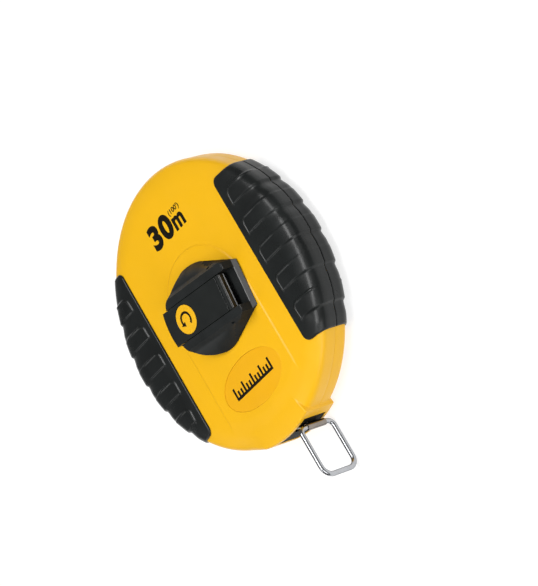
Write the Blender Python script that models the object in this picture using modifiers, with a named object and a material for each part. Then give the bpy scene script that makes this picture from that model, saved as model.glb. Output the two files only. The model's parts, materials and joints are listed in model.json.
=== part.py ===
"""Closed-case surveyor's tape reel with a folding crank and a pull ring.

Frame: metres, +Z up. The reel lies flat on its back. The origin is on the drum axis, in
the plane that the back rests on. +Z is the drum axis, towards the crank. The tape leaves
at the -Y edge and pulls out towards +X and -Y. Run with: blender --background --python part.py
"""
import math

import bmesh
import bpy
from mathutils import Matrix, Vector

MM = 0.001
GAP = 0.3 * MM

# Case: two round shells that meet at the middle plane
RIM_RADIUS = 75.0 * MM
MIDDLE_Z = 12.5 * MM
FACE_HALF = 10.7 * MM
PLATEAU_HALF = 11.2 * MM
FACE_EDGE_RADIUS = 63.0 * MM
SHOULDER_RADIUS = 28.4 * MM
RIM_EDGE_RADIUS = 4.0 * MM
SHOULDER_ANGLE = math.asin((RIM_RADIUS - RIM_EDGE_RADIUS - FACE_EDGE_RADIUS)
                           / (SHOULDER_RADIUS - RIM_EDGE_RADIUS))
FACE_WALL = 1.7 * MM
RIM_WALL = 2.4 * MM
PLATEAU_RADIUS = 31.7 * MM
PLATEAU_FOOT_RADIUS = 62.6 * MM
HUB_OPENING_RADIUS = 20.4 * MM
CASE_STEPS = 48
DRUM_STEPS = 40

# Rubber grips: skins over both long sides of the rim
GRIP_INNER_X = 45.8 * MM
GRIP_TOP_RIGHT_Y = 46.6 * MM
GRIP_TOP_LEFT_Y = 49.4 * MM
GRIP_BOTTOM_Y = -48.6 * MM
GRIP_CORNER_RADIUS = 4.0 * MM
GRIP_OUTSIDE = 1.8 * MM
GRIP_INSIDE = 0.35 * MM

# Mouth: a lug on the rim, with a black insert that the tape runs through
LUG_HALF_ANGLE = math.radians(15.5)
LUG_RADIUS = 76.2 * MM
LUG_HALF_HEIGHT = 10.1 * MM
MOUTH_START = math.radians(-99.3)
MOUTH_END = math.radians(-79.3)
MOUTH_HALF_HEIGHT = 7.8 * MM
MOUTH_ANGLE_GAP = GAP / RIM_RADIUS
INSERT_INNER_RADIUS = 71.0 * MM
INSERT_OUTER_RADIUS = 75.9 * MM
MOUTH_SLOT_HALF_HEIGHT = 6.9 * MM

# Oval badge plate below the crank
BADGE_Y = -42.9 * MM
BADGE_HALF_LENGTH = 24.9 * MM
BADGE_HALF_WIDTH = 12.8 * MM
BADGE_DEPTH = 0.8 * MM

# Case screws, driven from the back
SCREW_ANGLES = (55.0, 125.0, -55.0, -125.0)
SCREW_CIRCLE = 69.8 * MM
BOSS_RADIUS = 3.4 * MM
SCREW_HEAD_RADIUS = 2.4 * MM
SCREW_HEAD_HEIGHT = 1.5 * MM
SCREW_SHANK_RADIUS = 1.3 * MM
SCREW_SEAT_Z = 5.2 * MM
SCREW_TIP_Z = 19.0 * MM
SCREW_SLOT_WIDTH = 0.9 * MM

# Drum: hub, two flanges and the wound tape
TAPE_WIDTH = 12.8 * MM
TAPE_THICKNESS = 0.5 * MM
HUB_RADIUS = 22.5 * MM
HUB_INNER_RADIUS = 20.6 * MM
COIL_RADIUS = 65.2 * MM
FLANGE_RADIUS = 66.0 * MM
FLANGE_THICKNESS = 1.2 * MM
HUB_FLOOR_Z = 11.7 * MM
HUB_FLOOR_THICKNESS = 2.5 * MM
POST_RADIUS = 5.0 * MM
POST_TOP_Z = 13.0 * MM
COLLAR_RADIUS = 7.5 * MM
WASHER_Z = 5.7 * MM
WASHER_THICKNESS = 0.5 * MM

# Crank rotor, arm and knob, in the crank's own frame: +X from the axis to the hinge
CRANK_ANGLE = math.radians(-7.2)
HUB_FACE_Z = MIDDLE_Z + PLATEAU_HALF
ROTOR_BOTTOM_Z = HUB_FACE_Z + GAP
ROTOR_TOP_Z = HUB_FACE_Z + 9.0 * MM
ROTOR_RADIUS = 23.6 * MM
ROTOR_FLAT_START = math.radians(104)
ROTOR_FLAT_END = math.radians(148)
ROTOR_END_X = 32.1 * MM
ROTOR_END_HALF_WIDTH = 12.4 * MM
ROTOR_BOSS_RADIUS = 20.0 * MM
ROTOR_BOSS_BOTTOM_Z = 14.5 * MM
RAIL_END_X = 30.9 * MM
RIDGE_Y = 13.9 * MM
FLANK_BREAK_Y = 15.6 * MM
FLANK_BREAK_DROP = 1.5 * MM
FLANK_FOOT_Y = 25.0 * MM
FLANK_FOOT_Z = HUB_FACE_Z + 2.6 * MM
END_WALL_TOP_Z = HUB_FACE_Z + 2.0 * MM
CHANNEL_HALF_WIDTH = 9.6 * MM
CHANNEL_FLOOR_Z = 28.6 * MM
POCKET_START_X = 17.4 * MM
POCKET_END_X = 30.6 * MM
POCKET_FLOOR_Z = 25.5 * MM
HINGE_X = 21.3 * MM
HINGE_Z = HUB_FACE_Z + 5.7 * MM
KNUCKLE_RADIUS = 3.3 * MM
PIN_RADIUS = 1.2 * MM
PIN_HALF_LENGTH = 13.2 * MM
RIB_RADIUS = 0.45 * MM
RIB_ANGLES = (20.0, -26.0)
ARM_HALF_WIDTH = 9.25 * MM
ARM_END_X = -26.2 * MM
ARM_BOTTOM_Z = 28.9 * MM
TAB_BULGE = 1.2 * MM
KNOB_X = -10.5 * MM
KNOB_RADIUS = 7.0 * MM
KNOB_TIP_RADIUS = 5.6 * MM
KNOB_TOP_Z = 28.5 * MM
KNOB_BOTTOM_Z = 17.8 * MM
WELL_RADIUS = 8.0 * MM
WELL_BOTTOM_Z = 17.2 * MM
STICKER_RADIUS = 7.5 * MM
STICKER_DEPTH = 0.6 * MM
SPINDLE_RADIUS = 1.5 * MM
SPINDLE_HEAD_RADIUS = 3.0 * MM
SPINDLE_HEAD_HEIGHT = 1.2 * MM
SPINDLE_TAIL_RADIUS = 2.8 * MM
ROTOR_SCREW_CIRCLE = 13.0 * MM
ROTOR_SCREW_ANGLES = (0.0, 75.0, -75.0)
ROTOR_SCREW_LENGTH = 9.5 * MM
ROTOR_PILOT_TOP_Z = 22.0 * MM

# Pull ring and the clip that holds it on the tape
RING_PIVOT = Vector((10.85 * MM, -78.4 * MM, MIDDLE_Z))
RING_LENGTH = 26.4 * MM
RING_HALF_WIDTH = 11.2 * MM
RING_WIRE_RADIUS = 1.15 * MM
RING_TOP_BEND = 3.0 * MM
RING_END_BEND = 4.5 * MM
CLIP_RADIUS = 1.85 * MM
CLIP_BORE_RADIUS = 1.45 * MM
CLIP_HALF_LENGTH = 6.2 * MM
CLIP_PLATE_LENGTH = 9.0 * MM
CLIP_PLATE_THICKNESS = 0.5 * MM
RIVET_RADIUS = 0.8 * MM
RIVET_HEAD_RADIUS = 1.5 * MM
RIVET_HEAD_HEIGHT = 0.4 * MM
RIVET_BACKSET = 5.0 * MM
RIVET_SPACING = 7.0 * MM
LEADER_TAIL = 6.0 * MM

# The tape leaves the coil along a tangent that passes through the ring's pivot
TAPE_LINE_RADIUS = COIL_RADIUS + GAP + TAPE_THICKNESS / 2
PIVOT_DISTANCE = math.hypot(RING_PIVOT.x, RING_PIVOT.y)
TANGENT_ANGLE = math.atan2(RING_PIVOT.y, RING_PIVOT.x) - math.acos(TAPE_LINE_RADIUS / PIVOT_DISTANCE)
TAPE_RUN = math.sqrt(PIVOT_DISTANCE ** 2 - TAPE_LINE_RADIUS ** 2)

YELLOW = (0.95, 0.51, 0.01)
YELLOW_LABEL = (0.93, 0.48, 0.01)
BLACK_PLASTIC = (0.022, 0.024, 0.024)
BLACK_RUBBER = (0.018, 0.020, 0.020)
TAPE_WHITE = (0.86, 0.84, 0.76)
STEEL = (0.62, 0.63, 0.65)
DRUM_GREY = (0.16, 0.16, 0.17)


# ---------------------------------------------------------------- scene and materials

def clear_scene():
    for obj in list(bpy.data.objects):
        bpy.data.objects.remove(obj, do_unlink=True)


def new_collection(name):
    collection = bpy.data.collections.new(name)
    bpy.context.scene.collection.children.link(collection)
    return collection


def new_material(name, colour, roughness, metallic=0.0):
    material = bpy.data.materials.new(name)
    material.use_nodes = True
    shader = material.node_tree.nodes["Principled BSDF"]
    shader.inputs["Base Color"].default_value = (*colour, 1.0)
    shader.inputs["Roughness"].default_value = roughness
    shader.inputs["Metallic"].default_value = metallic
    return material


def new_empty(name, location, turn=0.0, parent=None):
    empty = bpy.data.objects.new(name, None)
    empty.location = location
    empty.rotation_euler.z = turn
    empty.parent = parent
    PARTS.objects.link(empty)
    return empty


def add_part(name, mesh, colour, roughness, metallic=0.0, parent=None):
    mesh.name = name
    part = bpy.data.objects.new(name, mesh)
    part.data.materials.append(new_material(name, colour, roughness, metallic))
    part.parent = parent
    PARTS.objects.link(part)
    return part


def add_cutter(name, mesh, parent=None):
    cutter = bpy.data.objects.new(name, mesh)
    cutter.hide_render = True
    cutter.display_type = "WIRE"
    cutter.parent = parent
    CUTTERS.objects.link(cutter)
    return cutter


def combine(part, other, operation):
    modifier = part.modifiers.new(other.name, "BOOLEAN")
    modifier.solver = "EXACT"
    modifier.operation = operation
    modifier.object = other


def cut(part, *cutters):
    for cutter in cutters:
        combine(part, cutter, "DIFFERENCE")


def join(part, *others):
    for other in others:
        combine(part, other, "UNION")


# ---------------------------------------------------------------- basic shapes

def mesh_from(bm, smooth=False):
    mesh = bpy.data.meshes.new("shape")
    bm.to_mesh(mesh)
    bm.free()
    if smooth:
        mesh.shade_smooth()
        mesh.set_sharp_from_angle(angle=math.radians(35))
    return mesh


def cylinder(radius, bottom, top, centre=(0.0, 0.0), segments=32):
    bm = bmesh.new()
    bmesh.ops.create_cone(bm, cap_ends=True, segments=segments, radius1=radius, radius2=radius,
                          depth=top - bottom)
    bmesh.ops.translate(bm, verts=bm.verts, vec=(*centre, (top + bottom) / 2))
    return mesh_from(bm, smooth=True)


def rod_along_y(radius, start, end, x=0.0, z=0.0, segments=24):
    mesh = cylinder(radius, start, end, segments=segments)
    mesh.transform(Matrix.Translation((x, 0, z)) @ Matrix.Rotation(math.radians(-90), 4, "X"))
    return mesh


def box(low, high):
    low = Vector(low)
    high = Vector(high)
    bm = bmesh.new()
    bmesh.ops.create_cube(bm, size=1.0)
    bmesh.ops.scale(bm, verts=bm.verts, vec=high - low)
    bmesh.ops.translate(bm, verts=bm.verts, vec=(high + low) / 2)
    return mesh_from(bm)


def arc(centre, radius, start, end, steps):
    """Points along an arc; angles in radians, both ends included."""
    points = []
    for step in range(steps + 1):
        angle = start + (end - start) * step / steps
        points.append((centre[0] + radius * math.cos(angle), centre[1] + radius * math.sin(angle)))
    return points


def plate(outline, bottom, top):
    """A flat outline, as a filled 2D curve, turned into a closed mesh between two heights."""
    curve = bpy.data.curves.new("outline", "CURVE")
    curve.dimensions = "2D"
    curve.fill_mode = "BOTH"
    curve.extrude = (top - bottom) / 2
    spline = curve.splines.new("POLY")
    spline.points.add(len(outline) - 1)
    for point, (x, y) in zip(spline.points, outline):
        point.co = (x, y, 0.0, 1.0)
    spline.use_cyclic_u = True
    source = bpy.data.objects.new("outline", curve)
    PARTS.objects.link(source)
    evaluated = source.evaluated_get(bpy.context.evaluated_depsgraph_get())
    mesh = bpy.data.meshes.new_from_object(evaluated)
    bpy.data.objects.remove(source, do_unlink=True)
    bm = bmesh.new()
    bm.from_mesh(mesh)
    bmesh.ops.remove_doubles(bm, verts=bm.verts, dist=0.00001)
    bmesh.ops.translate(bm, verts=bm.verts, vec=(0, 0, (top + bottom) / 2))
    bpy.data.meshes.remove(mesh)
    return mesh_from(bm)


def turn(part, steps):
    """Spins the part's profile, drawn at +X, once round its Z axis."""
    screw = part.modifiers.new("turn", "SCREW")
    screw.axis = "Z"
    screw.angle = math.tau
    screw.steps = steps
    screw.render_steps = steps
    screw.use_merge_vertices = True
    screw.merge_threshold = 0.00001
    screw.use_normal_calculate = False
    screw.use_smooth_shade = True


def profile_mesh(points, closed):
    """A profile in the XZ plane: top to bottom on its outer side. Open profiles end on the axis."""
    bm = bmesh.new()
    verts = [bm.verts.new((radius, 0.0, z)) for radius, z in points]
    for first, second in zip(verts, verts[1:]):
        bm.edges.new((first, second))
    if closed:
        bm.edges.new((verts[-1], verts[0]))
    return mesh_from(bm)


def sector(inner, outer, start, end, bottom, top, steps=8):
    """A block between two radii and two angles."""
    outline = arc((0, 0), outer, start, end, steps) + arc((0, 0), inner, end, start, steps)
    return plate(outline, bottom, top)


# ---------------------------------------------------------------- case

def shell_curve(offset):
    """The case's outer section above the middle plane, grown by an offset, from face to seam."""
    shoulder_centre = (FACE_EDGE_RADIUS, FACE_HALF - SHOULDER_RADIUS)
    shoulder = arc(shoulder_centre, SHOULDER_RADIUS + offset, math.pi / 2,
                   math.pi / 2 - SHOULDER_ANGLE, 3)
    edge_z = FACE_HALF - SHOULDER_RADIUS + (SHOULDER_RADIUS - RIM_EDGE_RADIUS) * math.cos(SHOULDER_ANGLE)
    edge = arc((RIM_RADIUS - RIM_EDGE_RADIUS, edge_z), RIM_EDGE_RADIUS + offset,
               math.pi / 2 - SHOULDER_ANGLE, 0.0, 3)
    return shoulder + edge[1:]


def case_blank(name, turned_over):
    """The solid outside of one shell; the back one is turned over about the Y axis."""
    curve = [(0.0, FACE_HALF)] + shell_curve(0.0)
    points = curve + [(RIM_RADIUS, GAP / 2), (0.0, GAP / 2)]
    shell = add_part(name, profile_mesh(points, closed=False), YELLOW, 0.38)
    shell.location.z = MIDDLE_Z
    if turned_over:
        shell.rotation_euler.y = math.pi
    turn(shell, CASE_STEPS)
    return shell


def cavity_cutter():
    """The room inside both shells; the screw bosses are what it leaves standing."""
    centre = (FACE_EDGE_RADIUS, FACE_HALF - SHOULDER_RADIUS)
    inner_radius = RIM_RADIUS - RIM_WALL
    sweep = math.asin((inner_radius - FACE_EDGE_RADIUS) / (SHOULDER_RADIUS - FACE_WALL))
    upper = arc(centre, SHOULDER_RADIUS - FACE_WALL, math.pi / 2, math.pi / 2 - sweep, 3)
    top = FACE_HALF - FACE_WALL
    lower = [(radius, -z) for radius, z in reversed(upper)]
    cutter = add_cutter("case_cavity", profile_mesh([(0.0, top)] + upper + lower + [(0.0, -top)], False))
    cutter.location.z = MIDDLE_Z
    turn(cutter, CASE_STEPS)
    for number, angle in enumerate(SCREW_ANGLES, 1):
        boss = cylinder(BOSS_RADIUS, -MIDDLE_Z, 3 * MIDDLE_Z, screw_centre(angle), 16)
        cut(cutter, add_cutter(f"screw_boss_{number}", boss))
    return cutter


def screw_centre(angle):
    radians = math.radians(angle)
    return (SCREW_CIRCLE * math.cos(radians), SCREW_CIRCLE * math.sin(radians))


def lug_mesh(bottom, top):
    middle = -math.pi / 2
    return sector(INSERT_INNER_RADIUS, LUG_RADIUS, middle - LUG_HALF_ANGLE, middle + LUG_HALF_ANGLE,
                  bottom, top, steps=10)


def plateau_outline():
    """A keyhole: round over the crank, with straight sides down to the face's edge."""
    foot_angle = math.acos(PLATEAU_RADIUS / PLATEAU_FOOT_RADIUS)
    round_top = arc((0, 0), PLATEAU_RADIUS, 0.0, math.pi, 24)
    return round_top + arc((0, 0), PLATEAU_FOOT_RADIUS, -math.pi + foot_angle, -foot_angle, 12)


def ellipse(half_length, half_width, centre_y, steps=40):
    points = []
    for step in range(steps):
        angle = math.tau * step / steps
        points.append((half_length * math.cos(angle), centre_y + half_width * math.sin(angle)))
    return points


def make_front_case(cavity, mouth):
    shell = case_blank("front_case", turned_over=False)
    seam = MIDDLE_Z + GAP / 2
    join(shell, add_cutter("front_plateau", plate(plateau_outline(), MIDDLE_Z + 9.8 * MM, HUB_FACE_Z)),
         add_cutter("front_lug", lug_mesh(seam, MIDDLE_Z + LUG_HALF_HEIGHT)))
    cut(shell, cavity)
    for number, angle in enumerate(SCREW_ANGLES, 1):
        pilot = cylinder(SCREW_SHANK_RADIUS + GAP, MIDDLE_Z - 2 * MM, SCREW_TIP_Z + 1 * MM,
                         screw_centre(angle), 12)
        cut(shell, add_cutter(f"front_pilot_{number}", pilot))
    opening = cylinder(HUB_OPENING_RADIUS, MIDDLE_Z, HUB_FACE_Z + 2 * MM, segments=48)
    badge = plate(ellipse(BADGE_HALF_LENGTH, BADGE_HALF_WIDTH, BADGE_Y), HUB_FACE_Z - BADGE_DEPTH,
                  HUB_FACE_Z + 2 * MM)
    cut(shell, add_cutter("hub_opening", opening), add_cutter("badge_recess", badge), mouth)


def make_back_case(cavity, mouth):
    shell = case_blank("back_case", turned_over=True)
    seam = MIDDLE_Z - GAP / 2
    join(shell, add_cutter("back_pad", cylinder(PLATEAU_RADIUS, 0.0, 3 * MM, segments=48)),
         add_cutter("back_lug", lug_mesh(MIDDLE_Z - LUG_HALF_HEIGHT, seam)))
    cut(shell, cavity)
    inner_face = MIDDLE_Z - FACE_HALF + FACE_WALL
    shoulder = cylinder(COLLAR_RADIUS, inner_face - 1 * MM, WASHER_Z - GAP)
    post = cylinder(POST_RADIUS, inner_face - 1 * MM, POST_TOP_Z)
    join(shell, add_cutter("post_shoulder", shoulder), add_cutter("post", post))
    for number, angle in enumerate(SCREW_ANGLES, 1):
        centre = screw_centre(angle)
        hole = cylinder(SCREW_SHANK_RADIUS + GAP, -2 * MM, MIDDLE_Z + 2 * MM, centre, 12)
        recess = cylinder(SCREW_HEAD_RADIUS + GAP, -2 * MM, SCREW_SEAT_Z, centre, 16)
        cut(shell, add_cutter(f"back_hole_{number}", hole), add_cutter(f"back_recess_{number}", recess))
    cut(shell, mouth)


def make_case():
    cavity = cavity_cutter()
    mouth_block = sector(INSERT_INNER_RADIUS - 2 * MM, LUG_RADIUS + 3 * MM, MOUTH_START, MOUTH_END,
                         MIDDLE_Z - MOUTH_HALF_HEIGHT, MIDDLE_Z + MOUTH_HALF_HEIGHT)
    mouth = add_cutter("mouth_opening", mouth_block)
    make_front_case(cavity, mouth)
    make_back_case(cavity, mouth)


def turned_screw(name, length, location):
    """A screw with its head at the bottom and its point up, with a slot across the head."""
    radius = SCREW_SHANK_RADIUS
    head = SCREW_HEAD_HEIGHT
    point = head + length
    points = [(0.0, point), (radius * 0.4, point), (radius, point - radius), (radius, head),
              (SCREW_HEAD_RADIUS, head), (SCREW_HEAD_RADIUS, head * 0.45),
              (SCREW_HEAD_RADIUS * 0.8, 0.0), (0.0, 0.0)]
    screw = add_part(name, profile_mesh(points, closed=False), STEEL, 0.3, 1.0)
    screw.location = location
    turn(screw, 16)
    reach = SCREW_HEAD_RADIUS + 1 * MM
    half = SCREW_SLOT_WIDTH / 2
    slot = box((-reach, -half, -1 * MM), (reach, half, head * 0.5))
    cut(screw, add_cutter(f"{name}_slot", slot, parent=screw))
    return screw


def make_case_screws():
    head_bottom = SCREW_SEAT_Z - GAP - SCREW_HEAD_HEIGHT
    length = SCREW_TIP_Z - head_bottom - SCREW_HEAD_HEIGHT
    for number, angle in enumerate(SCREW_ANGLES, 1):
        turned_screw(f"case_screw_{number}", length, (*screw_centre(angle), head_bottom))


def grip_outline(side, top_y):
    """The grip's plan: straight along the case, rounded where it turns to the rim."""
    radius = GRIP_CORNER_RADIUS
    far = RIM_RADIUS + 10 * MM
    lower = arc((GRIP_INNER_X + radius, GRIP_BOTTOM_Y + radius), radius, -math.pi / 2, -math.pi, 4)
    upper = arc((GRIP_INNER_X + radius, top_y - radius), radius, math.pi, math.pi / 2, 4)
    outline = [(far, GRIP_BOTTOM_Y)] + lower + upper + [(far, top_y)]
    return [(side * x, y) for x, y in outline]


def make_grips():
    outer = [(GRIP_INNER_X - 12 * MM, FACE_HALF + GRIP_OUTSIDE)] + shell_curve(GRIP_OUTSIDE)
    outer.append((RIM_RADIUS + GRIP_OUTSIDE, GAP / 2))
    inner = shell_curve(GRIP_INSIDE) + [(RIM_RADIUS + GRIP_INSIDE, GAP / 2)]
    inner = [(GRIP_INNER_X - 12 * MM, FACE_HALF + GRIP_INSIDE)] + inner
    section = outer + list(reversed(inner))
    for side_name, side, top_y in (("right", 1, GRIP_TOP_RIGHT_Y), ("left", -1, GRIP_TOP_LEFT_Y)):
        trim = add_cutter(f"grip_plan_{side_name}", plate(grip_outline(side, top_y), -5 * MM, 30 * MM))
        for half, tip in (("front", 0.0), ("back", math.pi)):
            grip = add_part(f"grip_{half}_{side_name}", profile_mesh(section, closed=True),
                            BLACK_RUBBER, 0.55)
            grip.location.z = MIDDLE_Z
            grip.rotation_euler.y = tip
            turn(grip, CASE_STEPS)
            combine(grip, trim, "INTERSECT")


def make_badge():
    outline = ellipse(BADGE_HALF_LENGTH - GAP, BADGE_HALF_WIDTH - GAP, BADGE_Y)
    bottom = HUB_FACE_Z - BADGE_DEPTH + GAP
    add_part("badge_plate", plate(outline, bottom, HUB_FACE_Z - 0.1 * MM), YELLOW_LABEL, 0.35)


# ---------------------------------------------------------------- drum

def add_turned(name, points, steps, colour, roughness, metallic=0.0, closed=True, parent=None):
    part = add_part(name, profile_mesh(points, closed), colour, roughness, metallic, parent)
    turn(part, steps)
    return part


def ring_section(inner, outer, bottom, top):
    return [(inner, top), (outer, top), (outer, bottom), (inner, bottom)]


def rotor_screw_centre(angle):
    radians = math.radians(angle)
    return (ROTOR_SCREW_CIRCLE * math.cos(radians), ROTOR_SCREW_CIRCLE * math.sin(radians))


def make_spool(crank):
    coil_top = MIDDLE_Z + TAPE_WIDTH / 2
    coil_bottom = MIDDLE_Z - TAPE_WIDTH / 2
    floor_top = HUB_FLOOR_Z + HUB_FLOOR_THICKNESS
    collar_bottom = WASHER_Z + WASHER_THICKNESS + GAP
    bore = POST_RADIUS + GAP
    section = [(HUB_RADIUS, coil_top), (HUB_RADIUS, coil_bottom), (HUB_INNER_RADIUS, coil_bottom),
               (HUB_INNER_RADIUS, HUB_FLOOR_Z), (COLLAR_RADIUS, HUB_FLOOR_Z),
               (COLLAR_RADIUS, collar_bottom), (bore, collar_bottom), (bore, floor_top),
               (HUB_INNER_RADIUS, floor_top), (HUB_INNER_RADIUS, coil_top)]
    hub = add_turned("spool_hub", section, DRUM_STEPS, DRUM_GREY, 0.5, parent=crank)
    for number, angle in enumerate(ROTOR_SCREW_ANGLES, 1):
        hole = cylinder(SCREW_SHANK_RADIUS + GAP, HUB_FLOOR_Z - 2 * MM, floor_top + 2 * MM,
                        rotor_screw_centre(angle), 12)
        cut(hub, add_cutter(f"hub_hole_{number}", hole, parent=crank))

    coil = ring_section(HUB_RADIUS + GAP, COIL_RADIUS, coil_bottom, coil_top)
    add_turned("tape_coil", coil, DRUM_STEPS, TAPE_WHITE, 0.55, parent=crank)
    front = coil_top + GAP
    back = coil_bottom - GAP - FLANGE_THICKNESS
    for name, bottom in (("spool_flange_front", front), ("spool_flange_back", back)):
        flange = ring_section(HUB_INNER_RADIUS, FLANGE_RADIUS, bottom, bottom + FLANGE_THICKNESS)
        add_turned(name, flange, DRUM_STEPS, DRUM_GREY, 0.5, parent=crank)

    washer = ring_section(bore, COLLAR_RADIUS, WASHER_Z, WASHER_Z + WASHER_THICKNESS)
    add_turned("spool_washer", washer, 24, STEEL, 0.35, 1.0)


# ---------------------------------------------------------------- crank

def rotor_outline():
    """A disc with one flat, and straight sides that run from it to the square hinge end."""
    corner_angle = math.atan2(ROTOR_END_HALF_WIDTH, ROTOR_END_X)
    corner_distance = math.hypot(ROTOR_END_X, ROTOR_END_HALF_WIDTH)
    touch = corner_angle + math.acos(ROTOR_RADIUS / corner_distance)
    disc = arc((0, 0), ROTOR_RADIUS, touch, ROTOR_FLAT_START, 5)
    disc += arc((0, 0), ROTOR_RADIUS, ROTOR_FLAT_END, math.tau - touch, 18)
    return disc + [(ROTOR_END_X, -ROTOR_END_HALF_WIDTH), (ROTOR_END_X, ROTOR_END_HALF_WIDTH)]


def roof_mesh():
    """A ridged roof along X: flat over both rails, with two slopes down each flank."""
    half = [(RIDGE_Y, ROTOR_TOP_Z), (FLANK_BREAK_Y, ROTOR_TOP_Z - FLANK_BREAK_DROP),
            (FLANK_FOOT_Y, FLANK_FOOT_Z), (FLANK_FOOT_Y, MIDDLE_Z)]
    outline = half + [(-y, z) for y, z in reversed(half)]
    mesh = plate(outline, -30 * MM, 40 * MM)
    mesh.transform(Matrix(((0, 0, 1, 0), (1, 0, 0, 0), (0, 1, 0, 0), (0, 0, 0, 1))))
    return mesh


def make_rotor(crank):
    rotor = add_part("crank_rotor", plate(rotor_outline(), ROTOR_BOTTOM_Z, ROTOR_TOP_Z + 1 * MM),
                     BLACK_PLASTIC, 0.35, parent=crank)
    combine(rotor, add_cutter("rotor_roof", roof_mesh(), parent=crank), "INTERSECT")
    boss = cylinder(ROTOR_BOSS_RADIUS, ROTOR_BOSS_BOTTOM_Z, ROTOR_BOTTOM_Z + 0.6 * MM, segments=48)
    join(rotor, add_cutter("rotor_boss", boss, parent=crank))
    above = ROTOR_TOP_Z + 5 * MM
    width = CHANNEL_HALF_WIDTH
    channel = box((-30 * MM, -width, CHANNEL_FLOOR_Z), (POCKET_START_X + 2 * MM, width, above))
    pocket = box((POCKET_START_X, -width, POCKET_FLOOR_Z), (POCKET_END_X, width, above))
    low_end = box((RAIL_END_X, -30 * MM, END_WALL_TOP_Z), (40 * MM, 30 * MM, above))
    rail_gap = box((POCKET_END_X - 1 * MM, -width, END_WALL_TOP_Z), (40 * MM, width, above))
    well = cylinder(WELL_RADIUS, WELL_BOTTOM_Z, above, (KNOB_X, 0.0), 32)
    pin_hole = rod_along_y(PIN_RADIUS + GAP, -PIN_HALF_LENGTH - GAP, 30 * MM, HINGE_X, HINGE_Z, 16)
    shapes = {"rotor_channel": channel, "rotor_pocket": pocket, "rotor_low_end": low_end,
              "rotor_rail_gap": rail_gap, "rotor_well": well, "rotor_pin_hole": pin_hole}
    for name, mesh in shapes.items():
        cut(rotor, add_cutter(name, mesh, parent=crank))
    for number, angle in enumerate(ROTOR_SCREW_ANGLES, 1):
        pilot = cylinder(SCREW_SHANK_RADIUS + GAP, ROTOR_BOSS_BOTTOM_Z - 2 * MM, ROTOR_PILOT_TOP_Z,
                         rotor_screw_centre(angle), 12)
        cut(rotor, add_cutter(f"rotor_pilot_{number}", pilot, parent=crank))

    add_part("hinge_pin", rod_along_y(PIN_RADIUS, -PIN_HALF_LENGTH, PIN_HALF_LENGTH, HINGE_X, HINGE_Z),
             STEEL, 0.25, 1.0, parent=crank)
    head_bottom = HUB_FLOOR_Z - GAP - SCREW_HEAD_HEIGHT
    for number, angle in enumerate(ROTOR_SCREW_ANGLES, 1):
        screw = turned_screw(f"rotor_screw_{number}", ROTOR_SCREW_LENGTH,
                             (*rotor_screw_centre(angle), head_bottom))
        screw.parent = crank


def make_arm(hinge):
    """The folding arm, in its hinge's frame: it reaches along -X, with the knob below."""
    end_x = ARM_END_X - HINGE_X
    top = KNUCKLE_RADIUS
    bottom = ARM_BOTTOM_Z - HINGE_Z
    knob_x = KNOB_X - HINGE_X
    bow_radius = (ARM_HALF_WIDTH ** 2 + TAB_BULGE ** 2) / (2 * TAB_BULGE)
    bow_angle = math.asin(ARM_HALF_WIDTH / bow_radius)
    tab_end = arc((end_x + bow_radius, 0), bow_radius, math.pi - bow_angle, math.pi + bow_angle, 8)
    outline = tab_end + [(0.0, -ARM_HALF_WIDTH), (0.0, ARM_HALF_WIDTH)]
    arm = add_part("crank_arm", plate(outline, bottom, top), BLACK_PLASTIC, 0.4, parent=hinge)
    knuckle = rod_along_y(KNUCKLE_RADIUS, -ARM_HALF_WIDTH, ARM_HALF_WIDTH, segments=32)
    join(arm, add_cutter("arm_knuckle", knuckle, parent=hinge))
    rib_distance = KNUCKLE_RADIUS - 0.1 * MM
    for number, angle in enumerate(RIB_ANGLES, 1):
        x = rib_distance * math.cos(math.radians(angle))
        z = rib_distance * math.sin(math.radians(angle))
        rib = rod_along_y(RIB_RADIUS, -ARM_HALF_WIDTH + 1 * MM, ARM_HALF_WIDTH - 1 * MM, x, z, 8)
        join(arm, add_cutter(f"knuckle_rib_{number}", rib, parent=hinge))
    bore = rod_along_y(PIN_RADIUS + GAP, -ARM_HALF_WIDTH - 2 * MM, ARM_HALF_WIDTH + 2 * MM, segments=16)
    sticker_floor = top - STICKER_DEPTH
    centre = (knob_x, 0.0)
    recess = cylinder(STICKER_RADIUS + GAP, sticker_floor, top + 2 * MM, centre, 32)
    rivet_seat = cylinder(SPINDLE_HEAD_RADIUS + GAP, sticker_floor - SPINDLE_HEAD_HEIGHT, top, centre, 20)
    rivet_hole = cylinder(SPINDLE_RADIUS + GAP, bottom - 2 * MM, top, centre, 16)
    for name, mesh in {"arm_bore": bore, "sticker_recess": recess, "rivet_seat": rivet_seat,
                       "rivet_hole": rivet_hole}.items():
        cut(arm, add_cutter(name, mesh, parent=hinge))

    sticker = cylinder(STICKER_RADIUS, sticker_floor + GAP, top + 0.1 * MM, centre, 32)
    add_part("arm_sticker", sticker, YELLOW, 0.35, parent=hinge)
    return sticker_floor


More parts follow.
